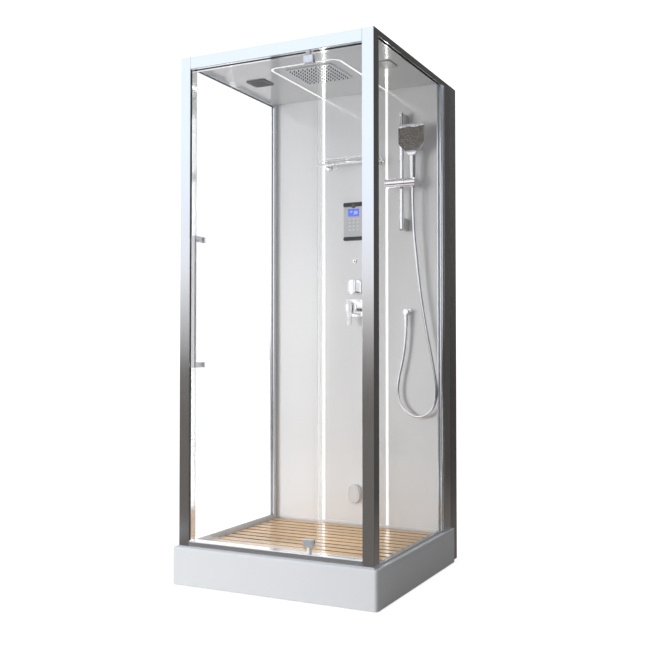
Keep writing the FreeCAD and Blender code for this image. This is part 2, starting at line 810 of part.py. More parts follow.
def ceiling_speaker():
    """Loudspeaker opposite the fan: perforated cover, and the driver in its can."""
    cover = pad(fan_size, fan_size, 14, 5, ceiling_z - 5, -fan_x, fan_y)
    cover = soften(cover, 2, level(ceiling_z - 5))
    holes = []
    for i in range(7):
        for j in range(7):
            x = (i - 3) * speaker_pitch - fan_x
            y = (j - 3) * speaker_pitch + fan_y
            pts = [V(x + outlet_r * a, y + outlet_r * b, ceiling_z - 6) for a, b in DIAMOND]
            holes.append(outline(pts, V(0, 0, 8)))
    cover = cover.cut(Part.makeCompound(holes))
    top = ceiling_z + speaker_high
    inside = fan_box - 5
    can = pad(fan_box, fan_box, 7, speaker_high, ceiling_z, -fan_x, fan_y)
    can = can.cut(pad(inside, inside, 5, speaker_high - 3, ceiling_z - 1, -fan_x, fan_y))
    magnet = turned([(0, top - 4), (26, top - 4), (26, top + 12), (23, top + 15), (0, top + 15)],
                    V(-fan_x, fan_y, 0))
    cone_low = turned([(0, top - 10), (12, top - 10), (38, ceiling_z + 3), (38, top - 2), (0, top - 2)],
                      V(-fan_x, fan_y, 0))
    return Part.makeCompound([cover, can.fuse([magnet, cone_low])])


def control_housing():
    """Back box of the control panel."""
    body = pad(control_w, control_h, 6, 10)
    stub = rod(11, V(0, 0, -panel), O)
    return on_wall(body.fuse(stub), 0, control_z)


def control_fascia():
    """Front sheet between the dark bars, cut out for the screen."""
    high = control_h - bar_top - bar_low - 2 * gap
    cy = (bar_low - bar_top) / 2
    sheet = pad(control_w, high, 1.5, 3, 0, 0, cy)
    sheet = sheet.cut(pad(screen_w + 2 * gap, screen_h + 2 * gap, 2, 5, -1, 0, screen_up))
    notch = rod(button_r + 3.5 + gap, V(0, button_up, -1), V(0, button_up, 4))
    return on_wall(sheet.cut(notch), 0, control_z, 10)


def control_bars():
    """Dark bars across the top and bottom of the control panel."""
    top = pad(control_w, bar_top, 5, 6, 0, 0, control_h / 2 - bar_top / 2)
    round_end = rod(button_r + 3.5, V(0, button_up, 0), V(0, button_up, 6))
    bore = rod(button_r + gap, V(0, button_up, -1), V(0, button_up, 7))
    top = top.fuse(round_end).removeSplitter().cut(bore)
    low = pad(control_w, bar_low, 5, 6, 0, 0, -control_h / 2 + bar_low / 2)
    return Part.makeCompound([on_wall(s, 0, control_z, 10) for s in (top, low)])


def control_screen():
    """Screen let into the fascia."""
    return on_wall(pad(screen_w, screen_h, 1.6, 2.2), 0, screen_z, 10)


def power_button():
    """Round push button in the top bar."""
    r = button_r
    body = turned([(0, 2), (r, 2), (r, 7), (r - 1.5, 8), (0, 8)])
    return on_wall(body, 0, button_z, 10)


def body_jet():
    """Small round outlet with its stub through the panel."""
    body = turned([(0, -12), (6, -12), (6, 0), (11, 0), (11, 2), (8, 5), (4, 5), (4, 1), (0, 1)])
    return on_wall(body, 0, jet_z)


def valve_plates():
    """Cover plates of diverter and mixer."""
    plates = []
    for w, h, r, bore, z in ((plate_small, plate_small, 14, 10, diverter_z),
                             (plate_wide, plate_high, 16, 12, mixer_z)):
        plate = soften(pad(w, h, r, plate_thick), 2, level(plate_thick))
        plate = plate.cut(rod(bore, V(0, 0, -1), V(0, 0, plate_thick + 1)))
        plates.append(on_wall(plate, 0, z))
    return Part.makeCompound(plates)


def diverter_knob():
    """Upright turning handle on its spindle."""
    base = plate_thick + gap
    body = pad(knob_w, knob_h, 16, knob_deep, base)
    body = soften(body, 5, level(base + knob_deep))
    spindle = rod(8, V(0, 0, -panel - 14), V(0, 0, 8))
    return on_wall(body.fuse(spindle), 0, diverter_z)


def mixer_cap():
    """Turning cap with a slot and cross pin for the lever."""
    body = rod(cap_d / 2, V(0, 0, plate_thick + gap), V(0, 0, cap_deep))
    body = soften(body, 4, level(cap_deep))
    body = body.cut(box(-5.6, 5.6, 2, 40, 18, 50))
    pin = rod(3, V(-14, 16, cap_deep - 10), V(14, 16, cap_deep - 10))
    stem = rod(10, V(0, 0, -panel - 20), V(0, 0, 8))
    return on_wall(body.fuse(pin).fuse(stem), 0, mixer_z)


def mixer_lever():
    """Lever bar with the eye that swings on the cap pin."""
    y = 10 - cap_deep
    bar = pad(lever_w, lever_deep, 3, lever_length, 30 - lever_length, 0, y - 18 - lever_deep / 2)
    eye = rod(7, V(-5, y, 16), V(5, y, 16))
    neck = box(-5, 5, y - 20, y, 10, 22)
    body = bar.fuse(eye).fuse(neck)
    body = body.cut(rod(3 + play, V(-6, y, 16), V(6, y, 16)))
    body.translate(V(0, wall_y, mixer_z))
    return body


def steam_outlet():
    """Capsule hood: cover plate in a groove, vents below, spigot through the panel."""
    r = steam_w / 2 - 1
    hood = soften(pad(steam_w, steam_h, r, steam_deep), 5, level(steam_deep))
    hood = hood.cut(pad(steam_w - 8, steam_h - 8, r - 4, steam_deep - 3, -1))
    groove = pad(steam_w - 16, steam_h - 16, r - 8, 3, steam_deep - 1.4)
    groove = groove.cut(pad(steam_w - 20, steam_h - 20, r - 10, 5, steam_deep - 2))
    hood = hood.cut(groove)
    for i in range(3):
        x = 12 * (i - 1)
        hood = hood.cut(box(x - 4, x + 4, -steam_h / 2 - 1, 7 - steam_h / 2, 5, steam_deep - 8))
    spigot = rod(10, V(0, 0, -30), V(0, 0, 4)).cut(rod(7.5, V(0, 0, -31), V(0, 0, 5)))
    reach = steam_w / 2 - 3
    web = box(-reach, reach, -2, 2, 0, 4).cut(rod(9, V(0, 0, -1), V(0, 0, 5)))
    return on_wall(hood.fuse(web).fuse(spigot), 0, steam_z)


def shelf_glass():
    """Glass shelf with round front corners."""
    w = shelf_w / 2
    r = shelf_corner
    y0 = wall_y - 7
    k = r * (1 - math.sqrt(0.5))
    z = shelf_z
    f = wall_y - shelf_d
    wire = [Part.makeLine(V(-w, y0, z), V(-w, f + r, z)),
            Part.Arc(V(-w, f + r, z), V(-w + k, f + k, z), V(-w + r, f, z)).toShape(),
            Part.makeLine(V(-w + r, f, z), V(w - r, f, z)),
            Part.Arc(V(w - r, f, z), V(w - k, f + k, z), V(w, f + r, z)).toShape(),
            Part.makeLine(V(w, f + r, z), V(w, y0, z)),
            Part.makeLine(V(w, y0, z), V(-w, y0, z))]
    return Part.Face(Part.Wire(wire)).extrude(V(0, 0, glass))


def shelf_rail():
    """Wall brackets, support rod and robe hook below the shelf."""
    z = shelf_z - 10
    y = wall_y - shelf_off
    r = shelf_rod / 2
    end = shelf_w / 2 + 10
    arm = end - 18
    body = rod(r, V(-end, y, z), V(end, y, z))
    for s in (-1, 1):
        knob = turned([(0, -5), (r, -5), (r + 2, -3), (r + 2, 3), (r, 6), (0, 6)],
                      V(end * s, y, z), X * s)
        rosette = rod(r + 10, V(arm * s, wall_y - 6, z), V(arm * s, wall_y, z))
        stem = rod(r - 1, V(arm * s, y, z), V(arm * s, wall_y - 3, z))
        post = rod(r + 2, V(arm * s, wall_y - 34, z - r - 1), V(arm * s, wall_y - 34, shelf_z))
        body = body.fuse([knob, rosette, stem, post])
    eye = rod(r + 2, V(-76, y, z), V(-68, y, z))
    hook = Part.makeTorus(13, 2.5, V(-72, y, z - 19), X)
    return body.fuse([eye, hook])


def shower_rail():
    """Slide rail tube with closed ends."""
    r = slide_d / 2
    pts = [(0, slide_low), (r, slide_low), (r, slide_high), (0, slide_high),
           (0, slide_high - 3), (r - 1.5, slide_high - 3), (r - 1.5, slide_low + 3),
           (0, slide_low + 3)]
    return turned(pts, V(slide_x, slide_y, 0))


def rail_brackets():
    """Wall brackets that carry the slide rail from behind."""
    brackets = []
    for z in (slide_low - 5, slide_high - 5 - bracket_high):
        block = box(slide_x - bracket_w / 2, slide_x + bracket_w / 2, slide_y + 1, wall_y,
                    z, z + bracket_high)
        block = soften(block, 2, lambda e: e.BoundBox.YMax < slide_y + 1.01)
        seat = rod(slide_d / 2 + play, V(slide_x, slide_y, z - 1),
                   V(slide_x, slide_y, z + bracket_high + 1))
        brackets.append(block.cut(seat))
    return Part.makeCompound(brackets)


def lying_bar(x0, x1):
    """Rounded bar along X at the height of the holder axis."""
    bar = pad(slider_high, slider_deep, 9, x1 - x0)
    bar.rotate(O, Y, 90)
    bar.translate(V(x0, slide_y - slider_ahead, holder_z))
    return bar


def rail_slider():
    """Slider block on the rail with the pivot stub for the holder."""
    body = lying_bar(slide_x - 67, slide_x + 25)
    body = soften(body, 5, lambda e: e.BoundBox.XMax < slide_x - 66.9)
    stub = rod(8, V(slide_x + 20, slide_y, holder_z), V(slide_x + 34, slide_y, holder_z))
    body = body.fuse(stub)
    bore = rod(slide_d / 2 + 0.08, V(slide_x, slide_y, holder_z - 30),
               V(slide_x, slide_y, holder_z + 30))
    pocket = rod(6 + gap, V(slide_x - 30, slide_y, holder_z + 8),
                 V(slide_x - 30, slide_y, holder_z + 20))
    return body.cut(bore).cut(pocket)


def slider_button():
    """Release button on top of the slider."""
    z = holder_z + 12
    return turned([(0, z), (6, z), (6, z + 15), (5, z + 17), (0, z + 17)],
                  V(slide_x - 30, slide_y, 0))


def lean(shape):
    """Tilt holder and handset forward about the holder axis."""
    done = shape.copy()
    done.rotate(V(0, slide_y, holder_z), X, handset_lean)
    return done


def handset_holder():
    """Tilting cradle: end of the bar on the stub, bored for the foot of the handset."""
    x0 = slide_x + 25 + gap
    x1 = handset_x + 19
    body = lying_bar(x0, x1)
    body = soften(body, 5, lambda e: e.BoundBox.XMin > x1 - 0.1)
    body = body.cut(rod(8 + play, V(x0 - 1, slide_y, holder_z), V(x0 + 10, slide_y, holder_z)))
    taper = cone(11.2 + 0.35, 13.6 + 0.35, V(handset_x, handset_y, holder_z - 19),
                 V(handset_x, handset_y, holder_z + 19))
    return lean(body.cut(taper))


def paddle(low):
    """Flat head of the handset, centred on X and Y, its neck at height low."""
    w = paddle_w / 2
    t = paddle_thick / 2
    top = low + paddle_h
    turn = low + 52
    half = [(15, low), (21, low + 9), (w, turn), (w, top)]
    pts = [V(x, -t, h) for x, h in half] + [V(-x, -t, h) for x, h in reversed(half)]
    head = outline(pts, V(0, paddle_thick, 0))
    edge = paddle_thick + 0.1
    head = soften(head, 18, lambda e: e.Length < edge and e.BoundBox.ZMin > top - 1)
    head = soften(head, 16, lambda e: e.Length < edge and abs(e.BoundBox.ZMin - turn) < 1)
    return soften(head, 4, lambda e: abs(e.BoundBox.YMax - t) < 0.01
                  and abs(e.BoundBox.YMin - t) < 0.01)


def handset_body():
    """Paddle-shaped handset on a round handle with a tapered foot."""
    z = holder_z
    foot = cone(10.9, 13.45, V(0, 0, z - 24), V(0, 0, z + 19))
    grip = turned([(0, z + 19), (13.45, z + 19), (15, z + 118), (13, z + 130), (7, z + 139),
                   (0, z + 142)])
    head = paddle(z + 120)
    head.translate(V(0, -paddle_ahead, 0))
    body = head.fuse(grip).fuse(foot)
    seat = face_prism(0.3, 4)
    seat.translate(V(0, 4 - paddle_ahead - paddle_thick / 2, 0))
    body = body.cut(seat)
    body = body.cut(rod(hose_d / 2 + 0.8, V(0, 0, z - 25), V(0, 0, z + 32)))
    body.translate(V(handset_x, handset_y, 0))
    return lean(body)


def face_prism(grow, thick):
    """Rounded spray face standing upright, its back at y = 0."""
    cz = holder_z + 113 + face_h
    plate = pad(face_w + 2 * grow, face_h + 2 * grow, 24 + grow, thick)
    plate.rotate(O, X, 90)
    plate.translate(V(0, 0, cz))
    return plate


def handset_face():
    """Spray face let into the paddle."""
    plate = face_prism(0, 5)
    plate.translate(V(handset_x, handset_y + 4 - paddle_ahead - paddle_thick / 2, 0))
    return lean(plate)


def hose_points():
    """Route of the hose from the wall outlet down, round and up into the handset."""
    a = math.radians(handset_lean)
    y_off = handset_y - slide_y

    def along(h):
        y = slide_y + y_off * math.cos(a) - h * math.sin(a)
        z = holder_z + y_off * math.sin(a) + h * math.cos(a)
        return V(handset_x, y, z)

    y = wall_y - elbow_off
    route = [(0, -gap), (-3, -101), (-46, -268), (-28, -354), (44, -406), (120, -378),
             (147, -294), (128, -166), (96, 1), (71, 167), (56, 326), (46.5, 440)]
    lift = (along(-80).y - y) / (len(route) - 5)
    pts = [V(elbow_x + x, y + lift * max(0, i - 5), elbow_low + z)
           for i, (x, z) in enumerate(route)]
    return pts + [along(-80), along(26)]


def hose():
    """Smooth shower hose hanging in a loop."""
    body, length, radii = pipe(hose_points(), hose_d / 2)
    area = math.pi * hose_d * hose_d / 4
    print("hose length", round(length), "least bend", round(min(radii)),
          "volume share", round(body.Volume / (area * length), 3))
    print("hose bends", [round(r) for r in radii])
    return body


def wall_elbow():
    """Hose outlet: rosette, elbow and downward spout with its nut."""
    x, z = elbow_x, elbow_z
    y = wall_y - elbow_off
    body = rod(16, V(x, wall_y - 8, z), V(x, wall_y, z))
    body = soften(body, 3, lambda e: e.BoundBox.YMax < wall_y - 7)
    body = body.fuse(rod(12, V(x, y - 10, z), V(x, wall_y - 4, z)))
    body = body.fuse(rod(10, V(x, y, elbow_low + 22), V(x, y, z)))
    nut = rod(9, V(x, y, elbow_low), V(x, y, elbow_low + 22))
    body = body.fuse(nut)
    tail = panel_back + pipe_off
    body = body.fuse(rod(10, V(x, wall_y - 2, z), V(x, tail + 11, z)))
    return body.fuse(rod(11, V(x, tail, z), V(x, tail, z + 18)))


def valve_bodies():
    """Mixer and diverter valves behind the wall with the water inlets."""
    y0 = panel_back
    y = y0 + pipe_off
    mixer = rod(26, V(0, y0, mixer_z), V(0, y0 + 50, mixer_z))
    mixer = mixer.fuse(rod(13, V(-75, y, mixer_z), V(75, y, mixer_z)))
    mixer = mixer.fuse(rod(12, V(0, y, mixer_z), V(0, y, mixer_z + boss)))
    for x in (-75, 75):
        mixer = mixer.fuse(rod(15, V(x, y0 + 10, mixer_z), V(x, y0 + 46, mixer_z)))
        mixer = mixer.fuse(rod(10.5, V(x, y0 + 40, mixer_z), V(x, y0 + 62, mixer_z)))
    mixer = mixer.cut(rod(10 + play, V(0, y0 - 1, mixer_z), V(0, y0 + 21, mixer_z)))
    diverter = rod(22, V(0, y0, diverter_z), V(0, y0 + 40, diverter_z))
    diverter = diverter.fuse(rod(12, V(0, y, diverter_z - boss), V(0, y, diverter_z + boss)))
    diverter = diverter.fuse(rod(12, V(0, y, diverter_z), V(boss, y, diverter_z)))
    diverter = diverter.cut(rod(8 + play, V(0, y0 - 1, diverter_z), V(0, y0 + 15, diverter_z)))
    return Part.makeCompound([mixer, diverter])


def supply_pipes():
    """Water pipes to the rain head and hose outlet, and the steam pipe."""
    y = panel_back + pipe_off
    ys = panel_back + 46
    pipes = [rod(pipe_d / 2, V(0, y, mixer_z + boss), V(0, y, diverter_z - boss))]
    pipes += bent_pipe([V(0, y, diverter_z + boss), V(0, y, ceiling_z + inlet_up),
                        V(0, head_y + head_box / 2 + 3, ceiling_z + inlet_up)], pipe_d / 2, 40)
    pipes += bent_pipe([V(boss, y, diverter_z), V(elbow_x, y, diverter_z),
                        V(elbow_x, y, elbow_z + 18)], pipe_d / 2, 30)
    pipes += bent_pipe([V(-tank_side, ys, steam_z), V(0, ys, steam_z),
                        V(0, panel_back + 22, steam_z)], 9, 20)
    return Part.makeCompound(pipes)


def steam_generator():
    """Closed steam tank standing on the rear rim."""
    y0 = panel_back + 12
    cx = -tank_side - tank_w / 2
    cy = y0 + tank_d / 2
    body = pad(tank_w, tank_d, 10, tank_h, tray_height, cx, cy)
    body = soften(body, 4, level(tray_height + tank_h))
    band = pad(tank_w + 4, tank_d + 4, 12, 8, tray_height + tank_h - 28, cx, cy)
    return body.fuse(band)


def control_box():
    """Control unit fixed behind the centre panel with its cable inlet."""
    x = -unit_side
    z = control_z - unit_h / 4
    back = panel_back + unit_d
    body = pad(unit_w, unit_h, 5, unit_d)
    body.rotate(O, X, -90)
    body.translate(V(x, panel_back, control_z))
    gland = rod(cable_d, V(x, back - 2, z), V(x, back + 14, z))
    bore = rod(cable_d / 2, V(x, back - 10, z), V(x, back + 15, z))
    return body.fuse(gland).cut(bore)


def main():
    """Build and export every node."""
    os.makedirs("parts", exist_ok=True)
    nodes = {
        "tray": tray(),
        "tray_feet": tray_feet(),
        "drain_waste": drain_waste(),
        "duckboard_slats": duckboard_slats(),
        "duckboard_bearers": duckboard_bearers(),
        "front_left_post": front_post(False).mirror(O, X),
        "front_right_post": front_post(True),
        "front_header": front_header(),
        "front_sill": front_sill(),
        "side_top_rails": side_top_rails(),
        "glass_channels": glass_channels(),
        "wall_side_profiles": wall_side_profiles(),
        "rear_posts": rear_posts(),
        "rear_cross_rails": rear_cross_rails(),
        "centre_wall_panel": centre_wall_panel(),
        "outer_wall_panels": Part.makeCompound([outer_wall_panel(-1), outer_wall_panel(1)]),
        "wall_led_strips": wall_led_strips(),
        "ceiling_led_loop": ceiling_led_loop(),
        "ceiling_panel": ceiling_panel(),
        "side_panes": side_panes(),
        "fixed_front_glass": fixed_front_glass(),
        "fixed_glass_seal": fixed_glass_seal(),
        "door_glass": door_glass(),
        "door_seals": door_seals(),
        "hinge_clamps": hinge_clamps(),
        "hinge_pivot_pins": hinge_pivot_pins(),
        "door_handle_bar": door_handle_bar(),
        "door_handle_fixings": door_handle_fixings(),
        "shower_head_plate": shower_head_plate(),
        "shower_head_body": shower_head_body(),
        "fan_grille": fan_grille(),
        "fan_housing": fan_housing(),
        "fan_rotor": fan_rotor(),
        "ceiling_speaker": ceiling_speaker(),
        "control_housing": control_housing(),
        "control_fascia": control_fascia(),
        "control_bars": control_bars(),
        "control_screen": control_screen(),
        "power_button": power_button(),
        "body_jet": body_jet(),
        "valve_plates": valve_plates(),
        "diverter_knob": diverter_knob(),
        "mixer_cap": mixer_cap(),
        "mixer_lever": mixer_lever(),
        "steam_outlet": steam_outlet(),
        "shelf_glass": shelf_glass(),
        "shelf_rail": shelf_rail(),
        "shower_rail": shower_rail(),
        "rail_brackets": rail_brackets(),
        "rail_slider": rail_slider(),
        "slider_button": slider_button(),
        "handset_holder": handset_holder(),
        "handset_body": handset_body(),
        "handset_face": handset_face(),
        "hose": hose(),
        "wall_elbow": wall_elbow(),
        "valve_bodies": valve_bodies(),
        "supply_pipes": supply_pipes(),
        "steam_generator": steam_generator(),
        "control_box": control_box(),
    }
    for name, shape in nodes.items():
        shape.exportStep("parts/" + name + ".step")
        print(name, shape.isValid(), len(shape.Solids), round(shape.Volume / 1000.0, 1))


main()
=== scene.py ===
import logging
import math
from abc import ABC, abstractmethod
from dataclasses import dataclass, field
from enum import Enum
from typing import Callable, Sequence

import bpy
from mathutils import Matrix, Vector


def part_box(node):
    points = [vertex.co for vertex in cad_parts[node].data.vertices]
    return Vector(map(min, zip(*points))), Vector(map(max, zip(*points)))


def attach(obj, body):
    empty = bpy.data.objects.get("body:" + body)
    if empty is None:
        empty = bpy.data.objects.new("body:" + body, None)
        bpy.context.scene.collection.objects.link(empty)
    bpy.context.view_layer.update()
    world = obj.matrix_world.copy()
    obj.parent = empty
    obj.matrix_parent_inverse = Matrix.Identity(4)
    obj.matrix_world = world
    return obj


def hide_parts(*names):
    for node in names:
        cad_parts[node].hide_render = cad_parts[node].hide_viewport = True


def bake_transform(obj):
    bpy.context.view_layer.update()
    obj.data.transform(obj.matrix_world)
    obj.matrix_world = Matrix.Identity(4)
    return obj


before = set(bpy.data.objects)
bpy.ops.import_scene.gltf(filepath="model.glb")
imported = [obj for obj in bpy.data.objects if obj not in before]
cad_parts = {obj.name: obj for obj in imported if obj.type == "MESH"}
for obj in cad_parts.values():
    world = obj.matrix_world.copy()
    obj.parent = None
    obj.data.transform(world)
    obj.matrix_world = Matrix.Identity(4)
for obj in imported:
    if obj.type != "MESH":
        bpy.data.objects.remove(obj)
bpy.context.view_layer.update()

LOG = logging.getLogger("shower_cabin")

Colour = tuple[float, float, float]
Point = tuple[float, float, float]
Range = tuple[float, float]
Span = tuple[Point, Point]
Socket = bpy.types.NodeSocket
Piece = bpy.types.Object
Material = bpy.types.Material
Palette = dict[str, Material]

MM = 0.001
WHITE: Colour = (1.0, 1.0, 1.0)
AHEAD = Vector((0.0, -1.0, 0.0))
DOWN = Vector((0.0, 0.0, -1.0))
UPRIGHT: Point = (0.0, 0.0, 0.0)
LYING: Point = (math.pi / 2, 0.0, 0.0)
ACROSS: Point = (0.0, math.pi / 2, 0.0)
SAME_WAY = 0.95
MAINLY = 0.5
SMOOTH_BELOW = math.radians(35.0)
WHOLE: Range = (0.0, 1.0)
NOISE_CORE: Range = (0.3, 0.7)


class Body(str, Enum):
    """Moving bodies of the cabin."""

    CABIN = "cabin"
    DOOR = "door"
    SLIDER = "slider"
    HOLDER = "holder"
    HANDSET = "handset"


class Slot(str, Enum):
    """Material slots of the part that new pieces take their finish from."""

    FRAME = "frame"
    CHROME = "chrome"
    RUBBER = "rubber"
    ACRYLIC = "acrylic"
    DARK = "dark_plastic"
    WHITE = "white_plastic"
    SCREEN = "screen"
    HOSE = "hose"
    STEEL = "pin_steel"


class Axis(Enum):
    """Direction that a grain follows or a surface looks in."""

    X = (1.0, 0.0, 0.0)
    Y = (0.0, 1.0, 0.0)
    Z = (0.0, 0.0, 1.0)


def scaled(colour: Colour, factor: float) -> Colour:
    """A colour made lighter or darker, held at white."""
    return tuple(min(1.0, factor * part) for part in colour)


class Graph:
    """Node tree while it is being put together."""

    def __init__(self, tree: bpy.types.NodeTree, output: str) -> None:
        """Start with an empty tree.

        Args:
            tree: The node tree.
            output: Blender's name of its output node.
        """
        self.tree = tree
        self.tree.nodes.clear()
        self.output = self.node(output)

    def node(self, kind: str, sockets: dict[str | int, object] | None = None,
             **settings: object) -> bpy.types.Node:
        """Add a node.

        Args:
            kind: Blender's name of the node type.
            sockets: Values or linked sockets by input name or number.
            **settings: Plain properties of the node.

        Returns:
            The new node.
        """
        node = self.tree.nodes.new(kind)
        for key, value in settings.items():
            setattr(node, key, value)
        for key, value in (sockets or {}).items():
            self.feed(node.inputs[key], value)
        return node

    def feed(self, target: Socket, value: object) -> None:
        """Link a socket to an input, or set the input's own value.

        Args:
            target: The input.
            value: Socket to link, or the value; a colour has three parts.
        """
        if isinstance(value, bpy.types.NodeSocket):
            self.tree.links.new(value, target)
        else:
            target.default_value = (*value, 1.0) if target.type == "RGBA" else value

    def place(self, stretch: Point = (1.0, 1.0, 1.0)) -> Socket:
        """Object coordinates, stretched along each axis."""
        coords = self.node("ShaderNodeTexCoord").outputs["Object"]
        return self.node("ShaderNodeMapping", {"Vector": coords, "Scale": stretch}).outputs["Vector"]

    def facing(self, axis: Axis) -> Socket:
        """Share of the surface direction along one of the object's axes."""
        return self.split(self.node("ShaderNodeTexCoord").outputs["Normal"])[axis.name]

    def noise(self, vector: Socket, scale: float, detail: float = 3.0, rough: float = 0.5) -> Socket:
        """Soft noise from 0 to 1, by cells per metre, octaves and weight of the fine octaves."""
        sockets = {"Vector": vector, "Scale": scale, "Detail": detail, "Roughness": rough}
        return self.node("ShaderNodeTexNoise", sockets).outputs["Fac"]

    def span(self, value: Socket, low: float, high: float, to_low: object = 0.0,
             to_high: object = 1.0) -> Socket:
        """Map a value from one range to another, held at the ends."""
        sockets = {"Value": value, "From Min": low, "From Max": high, "To Min": to_low, "To Max": to_high}
        return self.node("ShaderNodeMapRange", sockets).outputs["Result"]

    def sum(self, operation: str, first: object, second: object = 0.0) -> Socket:
        """One arithmetic step, by Blender's name of it."""
        return self.node("ShaderNodeMath", {0: first, 1: second}, operation=operation).outputs[0]

    def product(self, first: object, second: object) -> Socket:
        """Two values multiplied."""
        return self.sum("MULTIPLY", first, second)

    def tint(self, value: Socket, dark: Colour | Socket, light: Colour | Socket) -> Socket:
        """Blend two colours by a value from 0 to 1."""
        return self.node("ShaderNodeMix", {0: value, 6: dark, 7: light}, data_type="RGBA").outputs[2]

    def bsdf(self, kind: str, sockets: dict[str | int, object]) -> Socket:
        """Surface shader of one kind."""
        return self.node("ShaderNodeBsdf" + kind, sockets).outputs["BSDF"]

    def mixed(self, share: object, first: Socket, second: Socket) -> Socket:
        """Blend two surfaces by the share of the second."""
        return self.node("ShaderNodeMixShader", {0: share, 1: first, 2: second}).outputs["Shader"]

    def relief(self, height: Socket, strength: float, depth: float, edge: float) -> Socket:
        """Surface relief with eased edges.

        Args:
            height: Height from 0 to 1.
            strength: Share of the relief that shows.
            depth: Height of the relief in metres.
            edge: Radius of the eased edges in metres.

        Returns:
            The normal socket.
        """
        eased = self.node("ShaderNodeBevel", {"Radius": edge}, samples=4).outputs["Normal"]
        sockets = {"Height": height, "Strength": strength, "Distance": depth, "Normal": eased}
        return self.node("ShaderNodeBump", sockets).outputs["Normal"]

    def split(self, vector: Socket) -> bpy.types.NodeOutputs:
        """The three parts of a vector."""
        return self.node("ShaderNodeSeparateXYZ", {"Vector": vector}).outputs

    def shown(self, surface: Socket) -> None:
        """Join a surface to the output."""
        self.feed(self.output.inputs["Surface"], surface)

    def before_matt(self) -> tuple[Socket, Socket, Socket]:
        """What kind of look a ray takes at the surroundings.

        Returns:
            One where no matt surface lies on the way, one where a mirror does, and one where glass does.
        """
        path = self.node("ShaderNodeLightPath").outputs
        direct = self.sum("MAXIMUM", path["Is Camera Ray"], path["Is Transmission Ray"])
        direct = self.sum("MAXIMUM", direct, path["Is Glossy Ray"])
        seen = self.product(direct, self.sum("LESS_THAN", path["Diffuse Depth"], 0.5))
        mirror = self.sum("GREATER_THAN", path["Glossy Depth"], 0.5)
        return seen, mirror, self.sum("GREATER_THAN", path["Transmission Depth"], 0.5)


class Shader(Graph):
    """Node tree of one material."""

    def __init__(self, name: str) -> None:
        """Start an empty material.

        Args:
            name: Name of the finish.
        """
        self.material = bpy.data.materials.new(name)
        self.material.use_nodes = True
        super().__init__(self.material.node_tree, "ShaderNodeOutputMaterial")

    def coated(self, sockets: dict[str | int, object]) -> None:
        """Add the main surface shader and join it to the output."""
        self.shown(self.bsdf("Principled", sockets))

    def let_light_by(self, body: Socket, tone: Colour) -> None:
        """Show a clear body, and let light pass straight through it.

        Args:
            body: The clear body's surface.
            tone: Colour of the light that has passed.
        """
        path = self.node("ShaderNodeLightPath").outputs
        light = self.sum("MAXIMUM", path["Is Shadow Ray"], path["Is Diffuse Ray"])
        self.shown(self.mixed(light, body, self.bsdf("Transparent", {"Color": tone})))


@dataclass(frozen=True)
class Finish(ABC):
    """A finish that can make its material."""

    name: str

    def make(self) -> Material:
        """Build the material.

        Returns:
            The material.
        """
        shader = Shader(self.name)
        self.paint(shader)
        return shader.material

    @abstractmethod
    def paint(self, s: Shader) -> None:
        """Put the nodes together, in the given shader."""


@dataclass(frozen=True)
class BrushedMetal(Finish):
    """Metal with fine lines along its length."""

    tone: Colour
    roughness: float
    grain: Axis
    metallic: float = 1.0
    dark: float = 0.94
    lines: Range = (6.0, 900.0)
    edge: float = 0.6 * MM

    def paint(self, s: Shader) -> None:
        """Put the nodes together.

        Args:
            s: The material's shader.
        """
        along, across = self.lines
        stretch = tuple(along if part > MAINLY else across for part in self.grain.value)
        lines = s.noise(s.place(stretch), 1.0, 2.0)
        cloud = s.noise(s.place(), 5.0, 3.0)
        rough = s.sum("ADD", s.span(lines, *NOISE_CORE, self.roughness - 0.03, self.roughness + 0.03),
                      s.span(cloud, *NOISE_CORE, -0.02, 0.02))
        s.coated({"Base Color": s.tint(lines, scaled(self.tone, self.dark), self.tone),
                  "Metallic": self.metallic, "Roughness": rough,
                  "Normal": s.relief(lines, 0.05, 0.2 * MM, self.edge)})


@dataclass(frozen=True)
class Chrome(Finish):
    """Polished plating with faint water marks."""

    tone: Colour
    roughness: float
    metallic: float = 0.95
    dark: float = 0.96
    edge: float = 0.8 * MM

    def paint(self, s: Shader) -> None:
        """Put the nodes together.

        Args:
            s: The material's shader.
        """
        smear = s.noise(s.place(), 38.0, 4.0, 0.6)
        s.coated({"Base Color": s.tint(smear, scaled(self.tone, self.dark), self.tone),
                  "Metallic": self.metallic,
                  "Roughness": s.span(smear, 0.35, 0.75, self.roughness, self.roughness + 0.06),
                  "Normal": s.relief(smear, 0.02, 0.4 * MM, self.edge)})


@dataclass(frozen=True)
class GlossSheet(Finish):
    """Glossy moulded sheet with a faint ripple and tone drift."""

    tone: Colour
    roughness: float
    ripple: float = 0.03
    dark: float = 0.975
    edge: float = 2.0 * MM

    def paint(self, s: Shader) -> None:
        """Put the nodes together.

        Args:
            s: The material's shader.
        """
        drift = s.noise(s.place(), 3.0, 3.0)
        peel = s.noise(s.place(), 260.0, 2.0)
        s.coated({"Base Color": s.tint(drift, scaled(self.tone, self.dark), self.tone),
                  "Roughness": s.span(drift, *NOISE_CORE, self.roughness, self.roughness + 0.05),
                  "Coat Weight": 0.25, "Coat Roughness": 0.08,
                  "Normal": s.relief(peel, self.ripple, 0.3 * MM, self.edge)})


